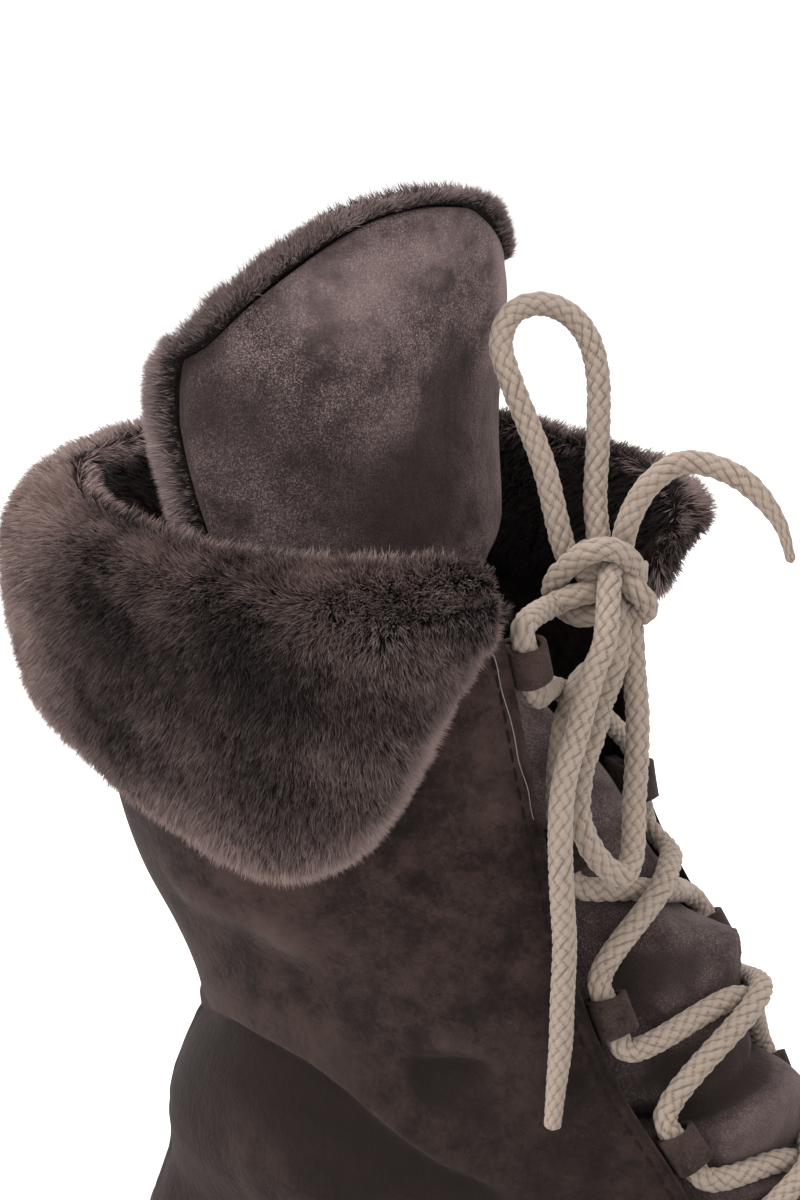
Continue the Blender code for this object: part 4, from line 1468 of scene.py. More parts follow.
@dataclass
class Cuff:
    """Fur collar folded down over the shaft's edge."""

    fur: bpy.types.Material
    hide: bpy.types.Material
    pile: float = 0.010
    rise: float = 0.009
    inside: float = 0.014
    drop: float = 0.063
    flare: float = 0.0195
    room: float = 0.0009
    inset: float = 0.0030
    stations: int = 150
    round_it: int = 56
    start: float = 0.012
    fade: float = 0.03
    turn_at: float = 10.6
    near_x: float = 0.008
    near_y: float = 0.004
    blades_outer: int = 196000
    blades_far: int = 140000
    slot: str = "cuff_fur"

    def section(self, along: float) -> tuple[Array, Array]:
        """The cuff's closed section at a place round the collar, and the pile on each point.

        Args:
            along: the place round the collar, from the outer throat edge at 0 to the inner one at 1.

        Returns:
            The section's points, and how much pile each carries.
        """
        side = Side.OUTER if along <= 0.5 else Side.INNER
        share = 2 * along if side is Side.OUTER else 2 - 2 * along
        top_height = LAST.shaft_height

        def at(height: float, place: float = share) -> Array:
            """Point of the shell's outer face here.

            Args:
                height: the point's height.
                place: its share of the way to the back.

            Returns:
                The point.
            """
            height = min(height, top_height)
            start = LAST.throat(height, side)
            whole = LAST.contour(round(height, 7), side)[1][-1]
            return LAST.outer(height, side, np.array([start + (whole - start) * place]))[0]

        tangent = at(top_height, min(share + 0.02, 1)) - at(top_height, max(share - 0.02, 0))
        out = np.array([tangent[1], -tangent[0], 0]) * side
        out /= np.linalg.norm(out)
        _, drop, flare, inside = curve_through(CUFF, along)
        drop, flare, inside = drop * self.drop, flare * self.flare, inside * self.inside
        top = top_height + self.rise + float(np.interp(along, *RISES))
        hem = top_height + self.rise - drop
        inner = LAST.wall + self.room
        hang = min(0.25, drop / 0.2)
        mid = (top_height + hem) / 2
        section = [
            (-inner, top_height - inside, 0),
            (-inner, top_height + self.room, 0),
            (LAST.gap, top_height + self.room, 0),
            (self.room + hang * max(flare - self.pile, 0), mid, 0),
            (self.room + 0.5 * hang * flare, hem + 0.2 * self.pile, 0.2),
            (0.45 * flare, hem, 0.9),
            (0.86 * flare, hem + 0.25 * self.pile, 1),
            (flare, hem + 0.36 * (top - hem), 1),
            (0.96 * flare, hem + 0.72 * (top - hem), 1),
            (0.68 * flare, top - 0.004, 1),
            (0.28 * flare, top, 1),
            (-0.35 * self.pile, top, 0.9),
            (-inner - 0.44 * self.pile, top_height - 0.3 * inside, 0.8),
            (-inner - 0.32 * self.pile, top_height - inside - 0.1 * self.pile, 0.5),
        ]
        ring = []
        for offset, height, _ in section:
            point = at(height) + out * offset
            point[2] = height
            ring.append(point)
        return np.array(ring), np.array([row[2] for row in section])

    def make(self) -> None:
        """Makes the hide under the pile, then the fur on it.

        Returns:
            Nothing; the pieces are put into the scene.
        """
        alongs = np.linspace(self.start, 1 - self.start, self.stations)
        found = [self.section(a) for a in alongs]
        rings = np.array([ring for ring, _ in found])
        share = found[0][1]
        count = rings.shape[1]
        places = np.linspace(0, count, self.round_it, endpoint=False)
        padded = np.concatenate([rings[:, -2:], rings, rings[:, :3]], axis=1)
        rows, columns = np.meshgrid(np.arange(self.stations), places + 2, indexing="ij")
        grid = sampled(padded, rows.astype(float), columns)
        depth = np.interp(places, np.arange(count + 1), np.append(share, share[0]))
        normals = grid_normals(grid, closed=True)
        centre = grid.mean(axis=1, keepdims=True)
        if np.mean(np.sum(normals * (grid - centre), axis=2)) < 0:
            normals = -normals
        grid = centre + (grid - centre) * (0.90 + 0.10 * self.whole(alongs))[..., None]
        grid, normals = self.capped(grid, normals, centre)
        rows = len(grid)
        alongs = np.concatenate([np.zeros(len(CAPS)), alongs, np.ones(len(CAPS))])
        ends = self.whole(alongs)
        waves = self.waves(grid)
        base = grid - normals * (self.inset * depth[None, :, None] * (1 + 0.35 * waves[..., None]))
        faces = grid_faces(rows, self.round_it, closed=True)
        hide = sheet("cuff_hide", base, self.hide, self.slot, closed=True)
        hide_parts("cuff")
        tangent = unit(np.roll(base, -1, axis=1) - np.roll(base, 1, axis=1))
        flow = np.where((places < self.turn_at)[None, :, None], -tangent, tangent)
        flow = unit(flow + np.array([0.18, 0, 0]) * (base[..., 1:2] < 0) + np.array([0, 0, -0.15]))
        carried = np.broadcast_to(depth, (rows, self.round_it)).copy()
        carried = np.maximum(carried, 0.8 * (1 - ends)) * (0.85 + 0.30 * waves) * (0.75 + 0.25 * ends)
        near = (base[..., 1] < self.near_y) & (base[..., 0] > self.near_x)
        pale = self.tones(base, places, alongs, waves)
        for name, where, blades, seed in (
            ("cuff_fur_outer", near, self.blades_outer, 11),
            ("cuff_fur_far", ~near, self.blades_far, 12),
        ):
            Coat(seed=seed).grow(
                name,
                base,
                faces,
                normals,
                flow,
                carried * where,
                pale,
                blades,
                self.fur,
                self.slot,
            )

    def whole(self, alongs: Array) -> Array:
        """How full the cuff is at places round the collar, from 0 at its ends to 1, as a column."""
        return smoothstep((np.minimum(alongs, 1 - alongs) - self.start) / self.fade)[:, None]

    @staticmethod
    def capped(grid: Array, normals: Array, centre: Array) -> tuple[Array, Array]:
        """Closes both ends of the cuff with round caps.

        Args:
            grid: the cuff's points, one row a section.
            normals: the outward directions there.
            centre: the middle of each section.

        Returns:
            The points and the directions, with the caps' rows before and after them.
        """
        first, last = ((centre[i] - centre[j]) for i, j in ((0, 1), (-1, -2)))
        for ring, way, where in ((grid[0], first, 0), (grid[-1], last, -1)):
            middle = ring.mean(axis=0)
            for size, out in CAPS:
                cap = (middle + (ring - middle) * size + unit(way) * out)[None]
                grid = np.concatenate([cap, grid] if where == 0 else [grid, cap])
        count = len(CAPS)
        normals = np.concatenate([normals[:1]] * count + [normals] + [normals[-1:]] * count)
        for where, way, rows in ((0, first, slice(count - 1, None, -1)), (-1, last, slice(-count, None))):
            normals[rows] = [unit(normals[where] * size + unit(way) * (1 - size)) for size, _ in CAPS]
        return grid, normals

    @staticmethod
    def tones(base: Array, places: Array, alongs: Array, waves: Array) -> Array:
        """How much lighter the fur's tips are at each point.

        Args:
            base: the hide's points, one row a section.
            places: where each point of a section lies on it.
            alongs: where each section lies round the collar.
            waves: the uneven height of the pile.

        Returns:
            The tones: painted rim light at the hem and the fold, painted light towards the back and at
                the inner end, random patches, and painted shade on the outer side's middle and inside.
        """
        # painted rim light along the hem and the fold's top
        hem = np.exp(-(((places - 5.5) / 0.6) ** 2))[None, :]
        hem = hem * np.interp(alongs, (0, 0.05, 0.10), (0.3, 0.7, 1.3))[:, None]
        hem = np.maximum(hem, 0.45 * np.exp(-(((places - 9.9) / 1.0) ** 2))[None, :])
        x, y, z = base[..., 0], base[..., 1], base[..., 2]
        patches = 0.28 * np.sin(95 * x + 140 * z + 0.4) * np.sin(120 * z - 60 * x + 1.1) + 0.2 * waves
        # painted light towards the back and at the inner end, and painted shade on the outer side's
        # middle
        lit = 0.5 * (1 - smoothstep((x - 0.005) / 0.035))
        lit = lit + 0.25 * smoothstep((alongs - 0.9) / 0.06)[:, None]
        lit -= 0.65 * np.exp(-(((x - 0.062) / 0.032) ** 2) - ((z - 0.198) / 0.016) ** 2) * (y < 0)
        # painted shade inside the collar
        inside = -1.5 * ((places > 11.2) | (places < 1.0))
        return hem + lit + patches + inside[None, :]

    @staticmethod
    def waves(grid: Array) -> Array:
        """Uneven height of the pile, from -1 to 1.

        Args:
            grid: the points.

        Returns:
            One value a point.
        """
        x, y, z = grid[..., 0], grid[..., 1], grid[..., 2]
        broad = 0.5 * np.sin(210 * x + 130 * z) * np.sin(170 * y - 90 * z)
        return broad + 0.5 * np.sin(310 * z + 190 * x - 120 * y)


# ---------------------------------------------------------------- the tongue


# share of the tongue's height, and half its width there in shares of its radius
TONGUE = np.array(
    [(0.20, 0.36), (0.24, 0.42), (0.31, 0.72), (0.38, 0.92), (0.47, 1.06), (0.57, 1.22), (0.66, 1.34),
     (0.76, 1.48), (0.86, 1.66), (1.00, 1.74)]
)
# share of the width from the outer edge to the inner one, and the height of the suede's upper edge there
EDGE = np.array(
    [(-1.0, 0.2485), (-0.9, 0.2532), (-0.8, 0.2580), (-0.7, 0.2626), (-0.6, 0.2670), (-0.5, 0.2714),
     (-0.4, 0.2748), (-0.3, 0.2766), (-0.2, 0.2772), (-0.1, 0.2768), (0.0, 0.2756), (0.1, 0.2725),
     (0.2, 0.2675), (0.3, 0.2632), (0.4, 0.2606), (0.6, 0.2574), (0.8, 0.2530), (1.0, 0.2460)]
)
# height, and how much narrower the tongue is there on its outer side
TRIM = ((0.205, 0.216, 0.226, 0.236, 0.243, 0.2475, 0.2515),
        (0.0020, 0.0020, 0.0008, -0.0006, 0.0, 0.0012, 0.0034))
# share of the width, and how far the fur border stands over the suede's upper edge there
OVER = ((-1.0, -0.9, -0.75, -0.5, -0.3, 1.0), (0.5, 0.75, 0.9, 0.75, 0.5, 0.45))
# soft folds of the tongue beside the lace
PINCHES = [
    Crease(((117, -20, 143), (124, -9, 141), (130, 2, 138)), 1.2, 6.0),
    Crease(((121, -20, 134), (129, -11, 133), (137, 1, 131)), -2.2, 5.0),
    Crease(((127, -15, 125), (136, -4, 123), (141, 5, 121)), 1.1, 5.0),
    Crease(((100, -22, 172), (108, -14, 166), (114, -6, 160)), -1.0, 6.0),
    Crease(((134, -16, 112), (141, -4, 113), (145, 6, 114)), -1.4, 4.5),
]
# each bulge between the lace's crossings: its height, way across and depth, and its reach up and across
BULGES = [
    (0.162, 0.002, 0.0035, 0.011, 0.016),
    (0.1345, 0.005, 0.0110, 0.012, 0.019),
    (0.1030, 0.004, 0.0100, 0.011, 0.018),
    (0.082, 0.002, 0.0040, 0.008, 0.014),
]


@dataclass
class Tongue:
    """Tall tongue that wraps round the shin: a suede face on fur that stands proud all round it."""

    suede: bpy.types.Material
    fur: bpy.types.Material
    hide: bpy.types.Material
    top: float = 0.270
    lean: float = 0.031
    swell: float = 0.004
    radius: float = 0.039
    face: float = 0.002
    fleece: float = 0.006
    border: float = 0.0065
    bottom: float = 0.0570
    strip: float = 0.0012
    step: float = 0.0015
    low: float = 0.051
    reach: float = 0.081
    columns: int = 136
    rows: int = 190
    press: float = 0.0027
    soft: float = 0.0016
    blades_edge: int = 76000
    blades_back: int = 56000
    table: Array = field(init=False)
    normal_table: Array = field(init=False)

    def surface(self, height: float, side: int, along: Array) -> Array:
        """Points of the outer face: under the throat it follows the shell, and above it stands free.

        Args:
            height: the height.
            side: the sign of y.
            along: ways along the curve from the front's middle.

        Returns:
            The points, one row each.
        """
        along = np.atleast_1d(along)
        sides = np.where(along < 0, -side, side)
        along = np.abs(along)
        within = min(height, LAST.shaft_height)
        depth = LAST.wall + 2 * self.strip + 6 * LAST.gap
        front = LAST.outer(within, side, np.zeros(1))[0, 0] - depth
        front -= self.lean * smoothstep((height / LAST.shaft_height - 0.70) / 0.29)
        angle = along / self.radius
        free = np.stack(
            [front - self.radius * (1 - np.cos(angle)), sides * self.radius * np.sin(angle),
             np.full(len(along), height)],
            axis=1,
        )
        share = smoothstep((height / LAST.shaft_height - 0.60) / 0.22)
        if share == 1:
            return free
        under = np.zeros((len(along), 3))
        for sign in (-1, 1):
            mine = sides == sign
            if not mine.any():
                continue
            way = along[mine]
            flat = 0.6 * LAST.throat(within, sign) + LAST.gap
            depths = depth - self.swell * (1 - smoothstep(way / flat))
            out = face_out(LAST.outer, within, sign, np.maximum(way, 0.0015))
            under[mine] = LAST.outer(within, sign, way) - out * depths[:, None]
        return under + (free - under) * share

    def measure(self) -> None:
        """Fills the tables of points and directions that the tongue's pieces are read from.

        Returns:
            Nothing; the tables are kept.
        """
        heights = np.arange(self.low, self.top + self.border + 0.012, self.step)
        ways = np.arange(-self.reach, self.reach + self.step, self.step)
        self.table = np.array([self.surface(h, 1, ways) for h in heights])
        normals = grid_normals(self.table)
        if normals[-1, len(ways) // 2, 0] < 0:
            normals = -normals
        self.normal_table = normals

    def read(self, heights: Array, ways: Array, offset: Array | float) -> tuple[Array, Array]:
        """Points this far off the outer face, and the outward directions there.

        Args:
            heights: the points' heights.
            ways: their ways along the curve.
            offset: how far off the outer face they lie.

        Returns:
            The points and the directions.
        """
        rows = (heights - self.low) / self.step
        columns = (ways + self.reach) / self.step
        out = unit(sampled(self.normal_table, rows, columns))
        off = out * np.broadcast_to(offset, heights.shape)[..., None]
        return sampled(self.table, rows, columns) + off, out

    def half(self, heights: Array) -> Array:
        """Half the suede's width along its curve.

        Args:
            heights: the heights.

        Returns:
            The half widths there.
        """
        rows = TONGUE * np.array([self.top, 1.0])
        flat = [curve_through(rows, h)[1] * self.radius for h in np.minimum(heights, self.top).ravel()]
        return np.array(flat).reshape(heights.shape)

    def across(self, shares: Array, heights: Array) -> Array:
        """Ways along the curve at shares of the width, trimmed on the outer side."""
        trim = np.interp(heights, *TRIM) * smoothstep((-shares - 0.55) / 0.45)
        return shares * self.half(heights) + trim

    def edge(self, shares: Array) -> Array:
        """Height of the suede's upper edge."""
        rows = np.array([curve_through(EDGE, s)[1] for s in np.linspace(-1, 1, 201)])
        return np.interp(shares, np.linspace(-1, 1, 201), rows)

    def make(self, lace: Array) -> None:
        """Makes the suede face under the lace, the fur's hide and the fur.

        Args:
            lace: the centreline of the crossings.

        Returns:
            Nothing; the pieces are put into the scene.
        """
        self.measure()
        self.make_face(lace)
        self.make_fur()

    @staticmethod
    def room_under(points: Array, out: Array, lace: Array, thick: float) -> Array:
        """How far points may move outward before they press on the lace, with slopes beside it.

        Args:
            points: the points.
            out: the outward directions there.
            lace: the lace's centreline.
            thick: half the lace's thickness, with its gap.

        Returns:
            How far each point may move.
        """
        tree = KDTree(len(lace))
        for i, point in enumerate(lace):
            tree.insert(point, i)
        tree.balance()
        nearest = lace[[tree.find(p)[1] for p in points.reshape(-1, 3)]].reshape(points.shape) - points
        ahead = np.sum(nearest * out, axis=-1)
        aside = np.sqrt(np.maximum(np.sum(nearest**2, axis=-1) - ahead**2, 0))
        return np.maximum(ahead - thick + 0.75 * np.maximum(aside - 0.0012, 0), -0.001)

    def make_face(self, lace: Array) -> None:
        """The suede, bulged between the lace's crossings and pressed in under them.

        Args:
            lace: the centreline of the crossings.

        Returns:
            Nothing; the pieces are put into the scene.
        """
        shares, rises = np.meshgrid(np.linspace(-1, 1, self.columns), np.linspace(0, 1, self.rows))
        heights = self.bottom + rises * (self.edge(shares) - self.bottom)
        ways = self.across(shares, heights)
        swell = np.zeros(shares.shape)
        for height, way, amount, tall, wide in BULGES:
            away = -(((heights - height) / tall) ** 2) - np.abs((ways - way) / wide) ** 3
            swell += amount * np.exp(away)
        base, out = self.read(heights, ways, 0.0)
        room = self.room_under(base, out, lace, self.press)
        blend = np.clip(0.5 + 0.5 * (room - swell) / self.soft, 0, 1)
        swell = room * (1 - blend) + swell * blend - self.soft * blend * (1 - blend)
        swell *= 1 - smoothstep((heights - 0.176) / 0.012)
        pinch = folded(base.reshape(-1, 3), PINCHES).reshape(heights.shape)
        over = smoothstep((heights - 0.205) / 0.03)
        depth = pinch + over * 0.0011 * np.sin(heights * 95 + ways * 60 + 0.6) * np.cos(ways * 55 - 0.5)
        depth -= over * 0.0016 * np.exp(-(((ways + 0.012 - (heights - 0.23) * 0.35) / 0.009) ** 2))
        rim = np.minimum(1 - np.abs(shares), 1.2 * (1 - rises)) * 0.06
        depth -= 0.0009 * np.exp(-((rim / 0.0016) ** 2)) * over
        fold = heights - (0.1118 + 0.12 * ways)
        below = 0.0014 * smoothstep(-fold / 0.003) * (fold > -0.02)
        depth -= 0.0030 * np.exp(-((fold / 0.0021) ** 2)) - below
        # painted light on the tongue's upper part, and painted shade on its outer edge and in patches:
        # beside the cuff's top, in two hollows between the laces, and along the fold line
        painted_light_and_shade = 0.9 * smoothstep((heights - 0.236) / 0.036) - 0.5 * smoothstep((-ways - 0.035) / 0.03)
        painted_light_and_shade -= 0.8 * np.exp(-(((heights - 0.219) / 0.014) ** 2) - ((ways + 0.016) / 0.024) ** 2)
        painted_light_and_shade -= 0.7 * np.exp(-(((heights - 0.133) / 0.006) ** 2) - ((ways + 0.012) / 0.008) ** 2)
        painted_light_and_shade -= 1.1 * np.exp(-((fold / 0.0019) ** 2))
        painted_light_and_shade -= 0.9 * np.exp(-(((heights - 0.118) / 0.005) ** 2) - ((ways + 0.010) / 0.016) ** 2)
        points, _ = self.read(heights, ways, depth + swell)
        # the fold mark paints shade in the grooves and highlights on the bulges, on top of the painted
        # light and shade
        fold = depth / 0.0026 + swell / 0.03 + painted_light_and_shade
        face = sheet("tongue_suede", points, self.suede, "tongue_suede", fold=fold)
        thicken(face, self.face, rim=True)
        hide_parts("tongue")

    def shown(self, heights: Array) -> Array:
        """How much of the border is out in the open, from 0.15 under the throat to 1 above it."""
        return 0.15 + 0.85 * smoothstep((heights - 0.72 * LAST.shaft_height) / (0.2 * LAST.shaft_height))

    def make_fur(self) -> None:
        """The fur's hide, rolled round the suede's edge, and the fur that grows from it.

        Returns:
            Nothing; the pieces are put into the scene.
        """
        pasts = np.array([0.0, 0.0003, 0.0006, 0.0015, 0.0026, 0.0036, 0.0044, 0.0048])
        proud = np.array([-0.0024, -0.0024, -0.0008, 0.0002, 0.0002, -0.0006, -0.0020, -0.0034])
        inner = np.linspace(-1, 1, 96)
        spans = [(-1.0, e) for e in pasts[:0:-1]] + [(s, 0.0) for s in inner]
        spans += [(1.0, e) for e in pasts[1:]]
        climbs = [(r, 0.0) for r in np.linspace(0, 1, 110)] + [(1.0, e) for e in pasts[1:]]
        share, past = (np.array(v)[None, :] for v in zip(*spans))
        rise, over = (np.array(v)[:, None] for v in zip(*climbs))
        share, past, rise, over = np.broadcast_arrays(share, past, rise, over)
        over = over * np.interp(share, *OVER)
        slope = np.abs(self.edge(share + 0.01) - self.edge(share - 0.01)) / 0.02
        slope = slope / (self.radius * pi / 2)
        far = np.sqrt(past**2 + over**2)
        corner = np.where((past > 0) & (over > 0), np.maximum(past, over) / np.maximum(far, 1e-9), 1.0)
        lift = over * corner * np.minimum(np.sqrt(1 + slope**2), 1.3)
        heights = self.bottom + rise * (self.edge(share) - self.bottom) + lift
        shown = self.shown(heights)
        wide = past * corner * np.where(past > 0.0006, shown, 1.0)
        wide *= 1 - 0.55 * smoothstep((heights - 0.2445) / 0.006) * (share < 0)
        ways = self.across(share, heights) + np.sign(share) * wide
        edge = np.maximum(past, over)
        under = -self.face - 1.5 * LAST.gap
        offset = under + (np.interp(edge, pasts, proud) - under) * smoothstep((shown - 0.15) / 0.85)
        front, out = self.read(heights, ways, offset)
        thick = self.fleece * (0.55 + 0.45 * shown) * 0.6
        back, _ = self.read(heights, ways, under - thick)
        rows, columns = front.shape[:2]
        quads = grid_faces(rows, columns)
        below = rows * columns
        rim = list(range(columns)) + [r * columns + columns - 1 for r in range(1, rows)]
        rim += [(rows - 1) * columns + c for c in range(columns - 2, -1, -1)]
        rim += [r * columns for r in range(rows - 2, 0, -1)]
        ring = np.array(rim)
        after = np.roll(ring, -1)
        wall = np.stack([ring, ring + below, after + below, after], axis=1)
        points = np.vstack([front.reshape(-1, 3), back.reshape(-1, 3)])
        behind = np.vstack([quads[:, ::-1] + below, wall])
        faces = np.vstack([quads, behind])
        hide = mesh_piece("tongue_hide", points, faces, self.hide, "fleece")
        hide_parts("tongue_fleece")
        beside = np.sign(ways) * smoothstep((np.abs(share) - 0.55) / 0.45) * (past > 0)
        outward = np.stack([np.zeros(share.shape), beside, (over > 0) * 1.0], axis=-1)
        round_edge, _ = self.read(heights, ways + np.sign(ways) * 0.001, offset)
        sideways = unit(round_edge - front)
        flow = sideways * ((past > 0) * 1.0)[..., None] + outward * np.array([0, 0, 1.0]) + out * 0.2
        flow = unit(flow)
        growth = smoothstep((edge - 0.0004) / 0.0008) * smoothstep((shown - 0.5) / 0.4)
        growth *= np.interp(share, (-1.0, -0.8, -0.3, 1.0), (1.0, 0.95, 0.62, 0.60))
        pale = 0.35 + 0.65 * smoothstep((edge - 0.0012) / 0.002)
        Coat(length=0.0052, lift=0.60, lay=0.75, stray=0.26, lock=0.0028, seed=21).grow(
            "tongue_fur_edge",
            front,
            quads,
            out,
            flow,
            growth,
            pale,
            self.blades_edge,
            self.fur,
            "fleece",
        )
        rolled = smoothstep(edge / 0.003)
        inside = smoothstep((heights - 0.185) / 0.02) * (1 - 0.45 * rolled)
        down = sideways * 0.3 + np.array([0, 0, -0.3])
        turned = unit(flow * rolled[..., None] - out)
        Coat(length=0.0054, lift=0.9, lay=0.4, stray=0.32, seed=22).grow(
            "tongue_fur_back",
            points,
            behind,
            np.vstack([flow, turned]),
            np.vstack([down] * 2),
            np.tile(inside.ravel(), 2),
            np.tile(0.25 * rolled.ravel(), 2),
            self.blades_back,
            self.fur,
            "fleece",
        )


# ---------------------------------------------------------------- the lace


@dataclass(frozen=True)
class Plait:
    """A round plaited lace."""

    diameter: float = 0.0046
    strands: int = 6
    pitch: float = 0.0031
    relief: float = 0.00046
    sides: int = 36
    step: float = 0.00052
    taper: float = 0.020
    cap: float = 0.0011

    def tube(self, line: Array, tip: float = 1.0) -> tuple[Array, tuple[Array, Array], Array]:
        """Points, quads and relief of the lace along a line.

        Args:
            line: its centreline, in points about a step apart.
            tip: how thick its last two centimetres end, as a share.

        Returns:
            The points, the quads and the ends' triangles, and the relief from 0 in a gap to 1 on top.
        """
        _, beside, over = tube_frames(line)
        way = ways_along(line)
        turn = np.linspace(0, 2 * pi, self.sides, endpoint=False)
        turns, ways = np.meshgrid(turn, way)
        across, run = turns * self.strands / (2 * pi), ways / self.pitch
        p, q = across + run, across - run
        rp, rq = np.sin(pi * (p % 1)), np.sin(pi * (q % 1))
        on_top = (np.floor(p) + np.floor(q)) % 2 == 0
        relief = np.where(on_top, rp**0.9 * rq**0.22, rp**0.22 * rq**0.9)
        radius = self.diameter / 2 - self.relief * 0.75 + self.relief * relief
        ends = 1 - (1 - tip) * smoothstep((way - way[-1] + self.taper) / self.taper)
        from_end = np.minimum(way, way[-1] - way)
        cap = np.sqrt(np.clip(1 - (1 - from_end / self.cap) ** 2, 0.04, 1))
        cap = np.where(from_end < self.cap, cap, 1)
        radius = radius * (ends * cap)[:, None]
        points = line[:, None] + circles(beside, over, self.sides) * radius[..., None]
        count = len(line)
        faces = grid_faces(count, self.sides, closed=True)
        centres = np.array([line[0], line[-1]])
        n, base = self.sides, count * self.sides
        k = np.arange(n)
        start = np.stack([(k + 1) % n, k, np.full(n, base)], axis=1)
        last = (count - 1) * n
        end = np.stack([last + k, last + (k + 1) % n, np.full(n, base + 1)], axis=1)
        caps = np.vstack([start, end])
        points = np.vstack([points.reshape(-1, 3), centres])
        return points, (faces, caps), np.append(relief.ravel(), [0.5, 0.5])


def lace_piece(
    name: str, plait: Plait, lines: Sequence[Array], finish: bpy.types.Material, tip: float = 1.0
) -> bpy.types.Object:
    """One piece of lace along one or more lines.

    Args:
        name: the piece's name.
        plait: the lace.
        lines: the centrelines.
        finish: the material.
        tip: how thick each line ends, as a share.

    Returns:
        The piece.
    """
    points, tris, marks, base = [], [], [], 0
    for line in lines:
        made, (quads, caps), relief = plait.tube(line, tip)
        split = np.vstack([quads[:, [0, 1, 2]], quads[:, [0, 2, 3]], caps])
        tris.append(split + base)
        points.append(made)
        marks.append(relief)
        base += len(made)
    relief = np.concatenate(marks)
    return mesh_piece(name, np.vstack(points), np.vstack(tris), finish, "lace_cotton", relief=relief)


